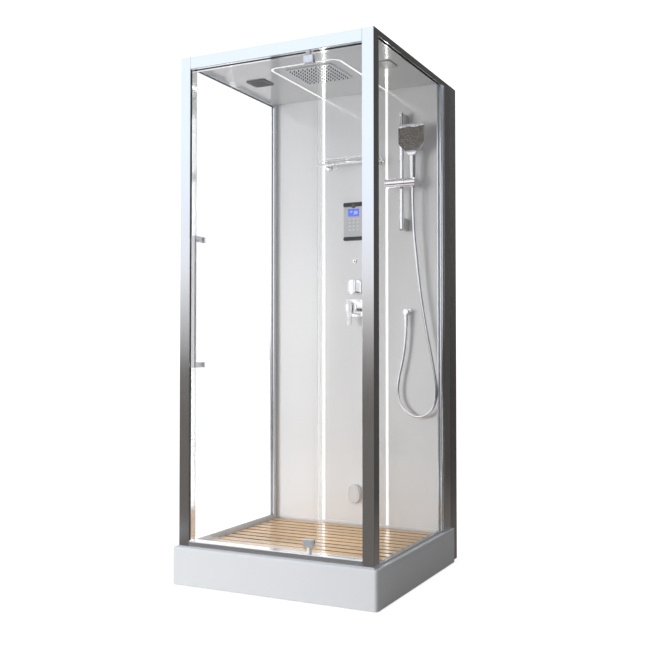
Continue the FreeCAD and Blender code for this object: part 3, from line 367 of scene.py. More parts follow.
@dataclass(frozen=True)
class OiledTimber(Finish):
    """Pale oiled timber, each slat with its own tone and grain, with painted shade on the slat sides that
    darkens the gaps.
    """

    light: Colour
    dark: Colour
    first: float
    pitch: float
    roughness: float = 0.38
    # side: painted shade, a dark brown on the slats' side faces that stands in for the shade in the gaps
    # between slats
    side: Colour = (0.34, 0.19, 0.085)
    grain: Point = (1.6, 30.0, 30.0)
    fibre: Point = (9.0, 700.0, 700.0)
    fibre_share: float = 0.28
    jump: Range = (17.0, 3.1)

    def paint(self, s: Shader) -> None:
        """Put the nodes together.

        Args:
            s: The material's shader.
        """
        along = s.sum("SUBTRACT", s.split(s.place())["Y"], self.first)
        index = s.sum("FLOOR", s.sum("DIVIDE", along, self.pitch))
        chance = s.node("ShaderNodeTexWhiteNoise", {"W": index}, noise_dimensions="1D").outputs["Value"]
        shift = s.node("ShaderNodeCombineXYZ", {"X": s.product(chance, self.jump[0]),
                                                "Y": s.product(index, self.jump[1])}).outputs["Vector"]
        moved = s.node("ShaderNodeVectorMath", {0: s.place(self.grain), 1: shift}, operation="ADD")
        grain = s.noise(moved.outputs["Vector"], 1.4, 5.0, 0.62)
        fibre = s.noise(s.place(self.fibre), 1.0, 3.0, 0.6)
        band = s.sum("ADD", s.product(grain, 1.0 - self.fibre_share), s.product(fibre, self.fibre_share))
        tone = s.tint(s.span(band, 0.36, 0.66), self.dark, self.light)
        # painted shade: faces that do not look up take the dark side colour
        shaded_flank = s.tint(s.span(s.facing(Axis.Z), 0.55, 0.95), self.side, tone)
        warm = s.node("ShaderNodeHueSaturation", {"Color": shaded_flank, "Value": s.span(chance, *WHOLE, 0.90, 1.06),
                                                  "Saturation": s.span(chance, *WHOLE, 0.96, 1.10)})
        s.coated({"Base Color": warm.outputs["Color"], "Specular IOR Level": 0.25, "Coat Weight": 0.22,
                  "Coat Roughness": 0.06, "Normal": s.relief(band, 0.12, 0.6 * MM, 1.0 * MM),
                  "Roughness": s.span(band, *NOISE_CORE, self.roughness + 0.08, self.roughness - 0.04)})


@dataclass(frozen=True)
class ClearGlass(Finish):
    """Clear toughened glass that lets light through to what stands behind it; its polished edges are a pale
    rim with a painted glow.
    """

    thin: Axis
    tint: Colour = (0.990, 0.988, 0.991)
    # rim and its glow: painted light, the pane's edges are a pale rim that emits light of its own
    rim: Colour = (0.82, 0.85, 0.85)
    painted_edge_glow: float = 0.30
    edge_shows: float = 0.5
    faces: float = 1.7
    index: float = 1.45
    passed: Colour = (0.96, 0.97, 0.97)

    def paint(self, s: Shader) -> None:
        """Put the nodes together.

        Args:
            s: The material's shader.
        """
        film = s.tint(s.noise(s.place(), 2.2, 2.0), self.tint, scaled(self.tint, 1.006))
        body = s.bsdf("Refraction", {"Color": film, "Roughness": 0.0, "IOR": 1.0})
        gloss = s.bsdf("Glossy", {"Roughness": 0.0})
        outer = s.sum("SUBTRACT", 1.0, s.node("ShaderNodeNewGeometry").outputs["Backfacing"])
        bright = s.product(s.node("ShaderNodeFresnel", {"IOR": self.index}).outputs["Fac"], self.faces)
        face = s.mixed(s.product(bright, outer), body, gloss)
        edge = s.sum("LESS_THAN", s.sum("ABSOLUTE", s.facing(self.thin)), 0.7)
        # painted light: the edge faces glow by emission
        rim = s.bsdf("Principled", {"Base Color": self.rim, "Roughness": 0.5, "Emission Color": self.rim,
                                    "Emission Strength": self.painted_edge_glow})
        s.let_light_by(s.mixed(edge, face, s.mixed(self.edge_shows, body, rim)), self.passed)


@dataclass(frozen=True)
class ClearVinyl(Finish):
    """Soft clear seal with a faint milky tone and a painted glow."""

    tone: Colour = (0.94, 0.945, 0.95)
    milk: float = 0.05
    # glow: painted light, the seal emits a faint light of its own
    glow: float = 0.35
    haze: Point = (80.0, 80.0, 6.0)

    def paint(self, s: Shader) -> None:
        """Put the nodes together.

        Args:
            s: The material's shader.
        """
        haze = s.noise(s.place(self.haze), 1.0, 2.0)
        # painted light: the seal's skin glows by emission
        skin = s.bsdf("Principled", {"Base Color": self.tone, "Emission Color": self.tone,
                                     "Emission Strength": self.glow,
                                     "Roughness": s.span(haze, *NOISE_CORE, 0.25, 0.35)})
        s.shown(s.mixed(self.milk, s.bsdf("Transparent", {"Color": WHITE}), skin))


@dataclass(frozen=True)
class OpalLight(Finish):
    """Diffuser lit on its open side, with the soft beat of the lamps behind it."""

    strength: float
    opens: Axis
    base: Colour = (0.9, 0.9, 0.9)
    glow: Colour = (1.0, 0.985, 0.96)
    look: float = 0.9
    mirrored: float = 6.5
    spacing: float = 16.0 * MM
    open_side: float = -0.3

    def paint(self, s: Shader) -> None:
        """Put the nodes together.

        Args:
            s: The material's shader.
        """
        rate = 1.0 / (20.0 * self.spacing)
        beat = s.node("ShaderNodeTexWave", {"Vector": s.place(), "Scale": rate, "Distortion": 0.0},
                      bands_direction="DIAGONAL").outputs["Fac"]
        seen, mirror, _ = s.before_matt()
        shine = s.span(seen, *WHOLE, self.strength, s.span(mirror, *WHOLE, self.look, self.mirrored))
        lit = s.product(shine, s.sum("LESS_THAN", s.facing(self.opens), self.open_side))
        s.coated({"Base Color": self.base, "Roughness": 0.35, "Emission Color": self.glow,
                  "Emission Strength": s.product(lit, s.span(beat, *WHOLE, 0.96, 1.04))})


@dataclass(frozen=True)
class MouldedPlastic(Finish):
    """Moulded plastic with a fine spark grain."""

    tone: Colour
    roughness: float
    grain: float = 0.10
    shine: float = 0.5
    light: float = 1.08

    def paint(self, s: Shader) -> None:
        """Put the nodes together.

        Args:
            s: The material's shader.
        """
        spark = s.noise(s.place(), 1600.0, 2.0)
        drift = s.noise(s.place(), 14.0, 3.0)
        s.coated({"Base Color": s.tint(drift, self.tone, scaled(self.tone, self.light)),
                  "Specular IOR Level": self.shine,
                  "Roughness": s.span(spark, *NOISE_CORE, self.roughness - 0.04, self.roughness + 0.06),
                  "Normal": s.relief(spark, self.grain, 0.2 * MM, 0.6 * MM)})


@dataclass(frozen=True)
class PaddleSkin(Finish):
    """Plated handset whose front is a dark warm grey inlay with pale specks."""

    plate: Colour
    inlay: Colour
    low: float
    high: float
    fade: float = 12.0 * MM
    wave: Range = (95.0, 2.0 * MM)
    speck: float = 7.5 * MM
    speck_light: float = 5.0

    def paint(self, s: Shader) -> None:
        """Put the nodes together.

        Args:
            s: The material's shader.
        """
        where = s.split(s.place())
        smear = s.noise(s.place(), 60.0, 4.0)
        ahead = s.span(s.facing(Axis.Y), -0.97, -0.93, 1.0, 0.0)
        rate, swing = self.wave
        rim = s.sum("ADD", where["Z"], s.product(s.sum("COSINE", s.product(where["X"], rate)), swing))
        inside = s.product(s.span(where["Z"], self.low, self.low + self.fade),
                           s.span(rim, self.high - MM, self.high + MM, 1.0, 0.0))
        mask = s.product(ahead, inside)
        plate = s.tint(smear, scaled(self.plate, 0.96), self.plate)
        cells = s.node("ShaderNodeTexVoronoi", {"Vector": s.place((1.0, 0.0, 1.0)), "Scale": 1.0 / self.speck,
                                                "Randomness": 0.35}).outputs["Distance"]
        inlay = s.tint(s.span(cells, 0.18, 0.34, 1.0, 0.0), self.inlay, scaled(self.inlay, self.speck_light))
        rough = s.sum("ADD", s.span(mask, *WHOLE, 0.06, 0.30), s.span(smear, *NOISE_CORE, 0.0, 0.05))
        s.coated({"Base Color": s.tint(mask, plate, inlay), "Metallic": s.span(mask, *WHOLE, 0.88, 0.25),
                  "Roughness": rough, "Normal": s.relief(smear, 0.02, 0.3 * MM, 1.0 * MM)})


@dataclass(frozen=True)
class LitFilm(Finish):
    """Back-lit film with a fine cell grid."""

    tone: Colour
    strength: float
    dark: float = 0.88
    cell: float = 1.2 * MM
    line: float = 0.2

    def paint(self, s: Shader) -> None:
        """Put the nodes together.

        Args:
            s: The material's shader.
        """
        where = s.split(s.place())
        cells = s.product(*(s.sum("PINGPONG", where[name], self.cell) for name in ("X", "Z")))
        grid = s.span(cells, 0.0, self.line * self.cell * self.cell)
        colour = s.tint(grid, scaled(self.tone, self.dark), self.tone)
        s.coated({"Base Color": colour, "Roughness": 0.18, "Emission Color": colour,
                  "Emission Strength": self.strength})


class Choice(Enum):
    """What is picked on a mesh, by the name of its list."""

    FACE = "polygons"
    EDGE = "edges"


def fresh() -> None:
    """Leave edit mode and deselect everything."""
    if bpy.context.mode != "OBJECT":
        bpy.ops.object.mode_set(mode="OBJECT")
    bpy.ops.object.select_all(action="DESELECT")


def alone(obj: Piece) -> None:
    """Select one piece only and make it the active one.

    Args:
        obj: The piece.
    """
    fresh()
    obj.select_set(True)
    bpy.context.view_layer.objects.active = obj


def hold(name: str) -> Piece:
    """Name the new active object and fix its place in its mesh.

    Args:
        name: Name of the piece.

    Returns:
        The object.
    """
    obj = bpy.context.view_layer.objects.active
    obj.name = name
    obj.data.name = name
    bpy.ops.object.transform_apply(location=True, rotation=True, scale=True)
    return obj


def block(name: str, low: Point, high: Point) -> Piece:
    """Block between two corners.

    Args:
        name: Name of the piece.
        low: Lowest corner in metres.
        high: Highest corner in metres.

    Returns:
        The object.
    """
    fresh()
    bpy.ops.mesh.primitive_cube_add(size=1.0, location=(Vector(low) + Vector(high)) / 2)
    bpy.context.object.scale = Vector(high) - Vector(low)
    return hold(name)


def drum(name: str, size: Range, centre: Point, turn: Point, sides: int) -> Piece:
    """Short round bar.

    Args:
        name: Name of the piece.
        size: Radius and length in metres.
        centre: Middle of the bar.
        turn: Rotation of its axis from upright.
        sides: Number of sides.

    Returns:
        The object.
    """
    fresh()
    bpy.ops.mesh.primitive_cylinder_add(vertices=sides, radius=size[0], depth=size[1], location=centre,
                                        rotation=turn)
    return hold(name)


def pick(obj: Piece, choice: Choice, test: Callable[[object], bool]) -> None:
    """Enter edit mode with some faces or edges selected.

    Args:
        obj: The piece.
        choice: What is picked.
        test: Says of a face or an edge whether it is wanted.
    """
    bpy.ops.object.mode_set(mode="EDIT")
    bpy.ops.mesh.select_mode(type=choice.name)
    bpy.ops.mesh.select_all(action="DESELECT")
    bpy.ops.object.mode_set(mode="OBJECT")
    for item in getattr(obj.data, choice.value):
        item.select = test(item)
    bpy.ops.object.mode_set(mode="EDIT")


def strips(name: str, spans: Sequence[Span], width: float, steps: int) -> Piece:
    """Blocks with eased edges, joined into one piece.

    Args:
        name: Name of the piece.
        spans: Lowest and highest corner of each block.
        width: Width of the eased edges.
        steps: Faces across an eased edge.

    Returns:
        The joined piece.
    """
    made = []
    for low, high in spans:
        made.append(block(name, low, high))
        pick(made[-1], Choice.EDGE, lambda edge: True)
        bpy.ops.mesh.bevel(offset=width, segments=steps, affect="EDGES")
        bpy.ops.object.mode_set(mode="OBJECT")
    alone(made[0])
    for piece in made[1:]:
        piece.select_set(True)
    if len(made) > 1:
        bpy.ops.object.join()
    return made[0]


def cup(name: str, size: Range, centre: Point, look: Vector, sides: int, sunk: Range,
        taper: float = 1.0) -> Piece:
    """Short round bar with a tapered end that is sunk inside its rim.

    Args:
        name: Name of the piece.
        size: Radius and length in metres.
        centre: Middle of the bar.
        look: Way that the sunk end looks.
        sides: Number of sides.
        sunk: Width of the rim that stays, and depth of the sunk floor.
        taper: Width of the sunk end as a share of the other end's.

    Returns:
        The object.
    """
    obj = drum(name, size, centre, UPRIGHT if abs(look.z) > MAINLY else LYING, sides)
    pick(obj, Choice.FACE, lambda face: face.normal.dot(look) > SAME_WAY)
    bpy.ops.transform.resize(value=tuple(1.0 if abs(part) > MAINLY else taper for part in look))
    bpy.ops.mesh.inset(thickness=sunk[0])
    bpy.ops.mesh.extrude_region_move(TRANSFORM_OT_translate={"value": -sunk[1] * look})
    bpy.ops.object.mode_set(mode="OBJECT")
    return obj


def row(obj: Piece, count: int, step: Point) -> None:
    """Repeat a piece in a row.

    Args:
        obj: The piece, which becomes the row.
        count: Number of copies with the first.
        step: Offset of each copy in metres.
    """
    array = obj.modifiers.new("row", "ARRAY")
    array.count = count
    array.use_relative_offset = False
    array.use_constant_offset = True
    array.constant_offset_displace = step
    bpy.context.view_layer.objects.active = obj
    bpy.ops.object.modifier_apply(modifier=array.name)


def complete(obj: Piece, material: Material, body: Body) -> None:
    """Smooth, paint and mount a finished piece.

    Args:
        obj: The piece.
        material: Its material.
        body: The body that it rides on.
    """
    alone(obj)
    bpy.ops.object.shade_smooth_by_angle(angle=SMOOTH_BELOW)
    obj.data.materials.clear()
    obj.data.materials.append(material)
    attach(obj, body.value)
    LOG.info("piece %s on %s, %d faces", obj.name, body.value, len(obj.data.polygons))


class Assembly(ABC):
    """A sub-assembly that paints its solids and adds its small pieces."""

    paints: dict[str, str] = {}

    def dress(self, palette: Palette) -> None:
        """Give each solid its finish, then add the small pieces.

        Args:
            palette: The finishes.
        """
        self.palette = palette
        for node, finish in self.paints.items():
            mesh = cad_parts[node].data
            mesh.materials.clear()
            mesh.materials.append(palette[finish])
            LOG.info("solid %s in %s", node, finish)
        self.build()

    def build(self) -> None:
        """Add the small pieces, if there are any."""


@dataclass
class Base(Assembly):
    """Tray, waste and duckboard, with the trim along the foot of the wall."""

    deep: float = 4.5 * MM
    high: float = 16.0 * MM
    over: float = 3.0 * MM
    rounded: float = 2.1 * MM
    steps: int = 4
    side_gap: float = 16.0 * MM
    near: float = 0.1 * MM

    paints = {"tray": "acrylic", "tray_feet": "galvanised", "drain_waste": "waste_plastic",
              "duckboard_slats": "timber", "duckboard_bearers": "bearer_timber"}

    def build(self) -> None:
        """Lay the trim along the foot of the wall."""
        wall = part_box("centre_wall_panel")[0]
        top = wall.z + self.over
        front = wall.y - self.deep
        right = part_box("side_panes")[1].x - self.side_gap
        trim = block("foot_trim", (-right, front, top - self.high), (right, wall.y, top))
        ends = trim.data.vertices
        pick(trim, Choice.EDGE, lambda edge: all(
            ends[n].co.z > top - self.near and ends[n].co.y < front + self.near for n in edge.vertices))
        bpy.ops.mesh.bevel(offset=self.rounded, segments=self.steps, affect="EDGES")
        bpy.ops.object.mode_set(mode="OBJECT")
        complete(trim, self.palette["wall"], Body.CABIN)


@dataclass
class Frame(Assembly):
    """Posts, rails and channels with the gaskets that hold the panes."""

    lip: float = 2.2 * MM
    sunk: float = 8.0 * MM
    wedge: Range = (0.05 * MM, 0.9 * MM)
    gap: float = 1.0 * MM
    end_gap: float = 2.0 * MM
    stop_gap: float = 3.0 * MM
    seal_gap: float = 18.0 * MM
    eased: float = 0.3 * MM
    header_half: float = 3.4 * MM
    header_start: float = 0.6 * MM
    header_eased: float = 0.8 * MM
    post_root: float = 1.5 * MM
    post_proud: float = 0.5 * MM
    post_deep: float = 11.0 * MM
    rib: float = 7.0 * MM
    rib_eased: float = 1.2 * MM
    rib_places: Range = (4.0 * MM, 20.0 * MM)

    paints = {"front_left_post": "frame_upright", "front_right_post": "frame_upright",
              "front_header": "frame_across", "front_sill": "sill_metal", "side_top_rails": "frame_along",
              "glass_channels": "channel", "wall_side_profiles": "frame_upright", "rear_posts": "rear_frame",
              "rear_cross_rails": "rear_frame"}

    def build(self) -> None:
        """Fit the gaskets and the ribs."""
        self.header_gasket()
        self.side_gaskets()
        self.fixed_gaskets()
        self.post_gasket()
        self.channel_lips()

    def gasket(self, name: str, spans: Sequence[Span], width: float, steps: int = 1) -> None:
        """Dark strips between given corners, as one piece."""
        strip = strips(name, spans, width, steps)
        complete(strip, self.palette["gasket"], Body.CABIN)

    def faces(self, low: float, high: float) -> tuple[Range, Range]:
        """Where the wedge gaskets on the two faces of a pane start and end."""
        near, far = self.wedge
        return (low - far, low - near), (high + near, high + far)

    def header_gasket(self) -> None:
        """Strip in the header slot above the door, open at the pivot."""
        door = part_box("door_glass")
        low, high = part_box("front_header")
        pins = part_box("hinge_pivot_pins")
        y = (door[0].y + door[1].y) / 2
        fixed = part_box("fixed_front_glass")[0].x
        runs = ((low.x + self.header_start, pins[0].x - self.end_gap),
                (pins[1].x + self.end_gap, fixed - self.end_gap))
        spans = [((x0, y - self.header_half, low.z - self.lip), (x1, y + self.header_half, low.z + self.sunk))
                 for x0, x1 in runs]
        self.gasket("header_gasket", spans, self.header_eased, 2)

    def side_gaskets(self) -> None:
        """Wedge gaskets on both faces of each side pane, under the rail and behind the post."""
        low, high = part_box("side_panes")
        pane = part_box("fixed_front_glass")
        thick = pane[1].y - pane[0].y
        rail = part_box("side_top_rails")[0].z
        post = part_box("front_left_post")[1].y
        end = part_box("glass_channels")[0].y - self.end_gap
        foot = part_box("tray")[1].z + self.end_gap
        spans = []
        for x in (low.x, high.x - thick):
            for x0, x1 in self.faces(x, x + thick):
                spans += [((x0, post + self.gap, rail - self.lip), (x1, end, rail + self.sunk)),
                          ((x0, post - self.sunk, foot), (x1, post + self.lip, rail - self.stop_gap))]
        self.gasket("side_gaskets", spans, self.eased)

    def fixed_gaskets(self) -> None:
        """Wedge gaskets on both faces of the fixed front pane."""
        low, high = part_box("fixed_front_glass")
        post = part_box("front_right_post")[0].x
        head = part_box("front_header")[0].z
        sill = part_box("front_sill")[1].z
        start = low.x + self.seal_gap
        spans = []
        for y0, y1 in self.faces(low.y, high.y):
            spans += [((start, y0, head - self.lip), (post - self.gap, y1, head + self.sunk)),
                      ((post - self.lip, y0, sill + self.stop_gap),
                       (post + self.sunk, y1, head - self.stop_gap))]
        self.gasket("fixed_gaskets", spans, self.eased)

    def post_gasket(self) -> None:
        """Stop strip along the inner side of the left post, in front of the door's seal."""
        low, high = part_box("front_left_post")
        front = low.y + self.post_root
        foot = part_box("front_sill")[1].z + self.gap
        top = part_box("front_header")[0].z - self.gap
        span = ((high.x - self.post_root, front, foot),
                (high.x + self.post_proud, front + self.post_deep, top))
        self.gasket("post_gasket", [span], self.eased)

    def channel_lips(self) -> None:
        """Two raised ribs down the outer side of each glass channel."""
        low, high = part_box("glass_channels")
        sides = ((high.x - self.gap, high.x + self.rib), (low.x - self.rib, low.x + self.gap))
        spans = [((x0, low.y + y, low.z + self.end_gap), (x1, low.y + y + self.rib, high.z - self.end_gap))
                 for y in self.rib_places for x0, x1 in sides]
        ribs = strips("channel_lips", spans, self.rib_eased, 2)
        complete(ribs, self.palette["frame_upright"], Body.CABIN)


@dataclass
class Skins(Assembly):
    """Wall panels, ceiling and lights."""

    paints = {"centre_wall_panel": "wall", "outer_wall_panels": "wall", "ceiling_panel": "ceiling",
              "wall_led_strips": "strip_light", "ceiling_led_loop": "loop_light"}


@dataclass
class Panes(Assembly):
    """Fixed glass and its seal."""

    paints = {"side_panes": "side_glass", "fixed_front_glass": "front_glass", "fixed_glass_seal": "vinyl",
              "shelf_glass": "shelf_glass"}


@dataclass
class Door(Assembly):
    """Pivot door with its hinges, handle and screws."""

    screw: Range = (3.2 * MM, 1.4 * MM)
    socket: Range = (1.3 * MM, 0.5 * MM)
    spread: float = 11.0 * MM
    proud: float = 0.3 * MM
    from_end: float = 22.5 * MM
    sides: int = 24
    pair: int = 2

    paints = {"door_glass": "front_glass", "door_seals": "vinyl", "hinge_clamps": "satin_plate",
              "hinge_pivot_pins": "white_plastic", "door_handle_bar": "handle_satin",
              "door_handle_fixings": "satin_plate"}

    def build(self) -> None:
        """Set the socket screws in the hinge clamps."""
        low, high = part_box("hinge_clamps")
        top = high.z - self.from_end
        first = ((low.x + high.x) / 2 - self.spread, low.y - self.proud, top)
        screw = cup("hinge_screws", self.screw, first, AHEAD, self.sides, self.socket)
        row(screw, self.pair, (2 * self.spread, 0.0, 0.0))
        row(screw, self.pair, (0.0, 0.0, low.z + self.from_end - top))
        complete(screw, self.palette["satin_plate"], Body.DOOR)


@dataclass
class Ceiling(Assembly):
    """Rain head with its nozzles, and the fan."""

    pitch: float = 20.4 * MM
    count: int = 10
    nozzle: float = 3.4 * MM
    proud: float = 3.6 * MM
    root: float = 4.0 * MM
    mouth: Range = (0.6 * MM, 1.6 * MM)
    taper: float = 0.72
    sides: int = 10

    paints = {"shower_head_plate": "rain_plate", "shower_head_body": "steel_sheet", "fan_grille": "fan_grey",
              "fan_housing": "dark_plastic", "fan_rotor": "white_plastic", "ceiling_speaker": "speaker_grey"}

    def build(self) -> None:
        """Fit the soft nozzles in the rain plate."""
        low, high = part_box("shower_head_plate")
        reach = self.pitch * (self.count - 1) / 2
        depth = self.proud + self.root
        first = ((low.x + high.x) / 2 - reach, (low.y + high.y) / 2 - reach, low.z - self.proud + depth / 2)
        nozzle = cup("rain_nozzles", (self.nozzle, depth), first, DOWN, self.sides, self.mouth, self.taper)
        row(nozzle, self.count, (self.pitch, 0.0, 0.0))
        row(nozzle, self.count, (0.0, self.pitch, 0.0))
        complete(nozzle, self.palette["nozzle"], Body.CABIN)


@dataclass
class Controls(Assembly):
    """Control panel with its keys and lit digits."""

    key: Range = (9.0 * MM, 5.6 * MM)
    key_depth: Range = (0.9 * MM, 0.6 * MM)
    key_eased: float = 0.7 * MM
    columns: int = 3
    rows: int = 4
    step: Range = (20.0 * MM, 17.0 * MM)
    first_drop: float = 12.0 * MM
    digits: str = "38"
    digit_shift: float = 3.0 * MM
    digit_gap: float = 4.0 * MM
    stroke: float = 1.5 * MM
    stroke_gap: Range = (0.3 * MM, 0.2 * MM)
    stroke_depth: Range = (0.35 * MM, 0.4 * MM)
    stroke_eased: float = 0.25 * MM
    glyph: Range = (7.0 * MM, 14.0 * MM)
    levels: int = 3
    level_start: Range = (8.0 * MM, 2.0 * MM)
    level_step: float = 4.5 * MM
    level_width: float = 2.8 * MM
    level_rise: Range = (5.0 * MM, 2.0 * MM)

    paints = {"control_housing": "white_plastic", "control_fascia": "fascia", "control_bars": "bar_black",
              "control_screen": "screen", "power_button": "dark_plastic"}
    strokes = {"a": (0, 1, 1), "b": (1, 0.5, 0), "c": (1, -0.5, 0), "d": (0, -1, 1), "e": (-1, -0.5, 0),
               "f": (-1, 0.5, 0), "g": (0, 0, 1)}
    lit = {"3": "abcdg", "8": "abcdefg"}

    def build(self) -> None:
        """Add keys and digits."""
        self.keys()
        self.readout()

    def keys(self) -> None:
        """Columns of raised keys under the screen."""
        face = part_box("control_fascia")[0].y
        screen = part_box("control_screen")
        x = (screen[0].x + screen[1].x) / 2 - self.step[0]
        z = screen[0].z - self.first_drop
        w, h = self.key
        proud, root = self.key_depth
        span = ((x - w / 2, face - proud, z - h / 2), (x + w / 2, face + root, z + h / 2))
        key = strips("control_keys", [span], self.key_eased, 3)
        row(key, self.columns, (self.step[0], 0.0, 0.0))
        row(key, self.rows, (0.0, 0.0, -self.step[1]))
        complete(key, self.palette["key_white"], Body.CABIN)

    def readout(self) -> None:
        """Lit strokes of the temperature readout, with three plain level bars."""
        low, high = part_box("control_screen")
        middle = (low.z + high.z) / 2
        w, h = self.glyph
        thin = self.stroke / 2
        bars = []
        for n, digit in enumerate(self.digits):
            x = (low.x + high.x) / 2 + self.digit_shift + n * (w + self.digit_gap)
            for name in self.lit[digit]:
                right, up, flat = self.strokes[name]
                cx, cz = x + right * w / 2, middle + up * h / 2
                dx, dz = (w / 2 - self.stroke_gap[0], thin) if flat else (thin, h / 4 - self.stroke_gap[1])
                bars.append((cx - dx, cz - dz, cx + dx, cz + dz))
        for n in range(self.levels):
            x = low.x + self.level_start[0] + n * self.level_step
            top = middle + self.level_rise[0] + n * self.level_rise[1]
            bars.append((x, middle + self.level_start[1], x + self.level_width, top))
        proud, root = self.stroke_depth
        spans = [((x0, low.y - proud, z0), (x1, low.y + root, z1)) for x0, z0, x1, z1 in bars]
        digits = strips("screen_digits", spans, self.stroke_eased, 1)
        complete(digits, self.palette["digit_white"], Body.CABIN)


@dataclass
class Taps(Assembly):
    """Jet, diverter, mixer, steam outlet and shelf rail."""

    tip: Range = (5.0 * MM, 2.4 * MM)
    set_back: float = 0.6 * MM
    mouth: Range = (0.8 * MM, 1.2 * MM)
    taper: float = 0.8
    sides: int = 16

    paints = {"steam_outlet": "white_plastic"} | dict.fromkeys((
        "body_jet", "valve_plates", "diverter_knob", "mixer_cap", "mixer_lever", "shelf_rail",
        "wall_elbow"), "chrome")

    def build(self) -> None:
        """Set the dark tip in the middle of the body jet."""
        low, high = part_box("body_jet")
        centre = ((low.x + high.x) / 2, low.y + self.set_back, (low.z + high.z) / 2)
        tip = cup("jet_tip", self.tip, centre, AHEAD, self.sides, self.mouth, self.taper)
        complete(tip, self.palette["nozzle"], Body.CABIN)


@dataclass
class SlideRail(Assembly):
    """Slide rail, slider, holder and handset with its nozzles and outlets."""

    lean: float = math.radians(1.0)
    axis_y: float = 268.5 * MM
    axis_z: float = 1686.0 * MM
    centre_x: float = 310.5 * MM
    ahead: float = 29.6 * MM
    pitch: Range = (9.4 * MM, 9.0 * MM)
    grid: tuple[int, int] = (9, 8)
    nozzle: Range = (1.5 * MM, 2.4 * MM)
    nozzle_proud: float = 0.2 * MM
    nozzle_mouth: Range = (0.45 * MM, 0.8 * MM)
    nozzle_taper: float = 0.7
    nozzle_sides: int = 8
    spray_up: float = 200.0 * MM
    outlets: int = 6
    outlet: Range = (2.5 * MM, 3.0 * MM)
    outlet_back: float = 0.6 * MM
    outlet_mouth: Range = (0.6 * MM, 0.9 * MM)
    outlet_step: float = 14.5 * MM
    outlet_up: float = 247.0 * MM
    outlet_sides: int = 12
    crowned: float = 11.0 * MM
    crown_sides: int = 72
    root: float = 0.5 * MM
    seam: float = 0.4 * MM

    paints = {"shower_rail": "chrome", "rail_brackets": "bracket_grey", "rail_slider": "slider_chrome",
              "slider_button": "chrome", "handset_holder": "slider_chrome", "handset_body": "paddle",
              "handset_face": "paddle"}

    def build(self) -> None:
        """Add nozzles and outlets to the handset, and crowned fronts to slider and holder."""
        self.spray()
        self.crown()
        slider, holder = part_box("rail_slider"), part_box("handset_holder")
        split = holder[0].x
        self.cover("slider_cover", slider, Body.SLIDER, (slider[0].x, split - self.seam))
        self.cover("holder_cover", holder, Body.HOLDER, (split, holder[1].x))

    def mount(self, piece: Piece, finish: str) -> None:
        """Lean a piece like the handset and mount it there.

        Args:
            piece: The upright piece.
            finish: Name of its finish.
        """
        about = Vector((0.0, self.axis_y, self.axis_z))
        alone(piece)
        piece.location = -about
        bpy.ops.object.transform_apply(location=True, rotation=False, scale=False)
        piece.rotation_euler = (self.lean, 0.0, 0.0)
        piece.location = about
        bpy.ops.object.transform_apply(location=True, rotation=True, scale=False)
        complete(piece, self.palette[finish], Body.HANDSET)

    def spray(self) -> None:
        """Field of fine nozzles in the face."""
        across, up = self.pitch
        nx, nz = self.grid
        first = (self.centre_x - across * (nx - 1) / 2, self.axis_y - self.ahead - self.nozzle_proud,
                 self.axis_z + self.spray_up - up * (nz - 1) / 2)
        nozzle = cup("spray_nozzles", self.nozzle, first, AHEAD, self.nozzle_sides, self.nozzle_mouth,
                     self.nozzle_taper)
        row(nozzle, nx, (across, 0.0, 0.0))
        row(nozzle, nz, (0.0, 0.0, up))
        self.mount(nozzle, "spray_tip")

    def crown(self) -> None:
        """Row of larger dark outlets along the top of the face."""
        first = (self.centre_x - self.outlet_step * (self.outlets - 1) / 2,
                 self.axis_y - self.ahead + self.outlet_back, self.axis_z + self.outlet_up)
        tip = cup("crown_outlets", self.outlet, first, AHEAD, self.outlet_sides, self.outlet_mouth)
        row(tip, self.outlets, (self.outlet_step, 0.0, 0.0))
        self.mount(tip, "nozzle")

    def cover(self, name: str, box: tuple[Vector, Vector], body: Body, run: Range) -> None:
        """Crowned front of the lying bar.

        Args:
            name: Name of the piece.
            box: Corners of the solid that carries it.
            body: The body that it rides on.
            run: Where it starts and ends across the cabin.
        """
        low, high = box
        left, right = run[0] + self.seam, run[1] - self.seam
        half = (high.z - low.z) / 2 - self.seam
        centre = ((left + right) / 2, low.y + self.root, (low.z + high.z) / 2)
        bar = drum(name, (half, right - left), centre, ACROSS, self.crown_sides)
        pick(bar, Choice.FACE, lambda face: True)
        bpy.ops.transform.resize(value=(1.0, self.crowned / half, 1.0))
        bpy.ops.mesh.bisect(plane_co=centre, plane_no=(0.0, 1.0, 0.0), use_fill=True, clear_outer=True)
        bpy.ops.object.mode_set(mode="OBJECT")
        complete(bar, self.palette["slider_chrome"], body)


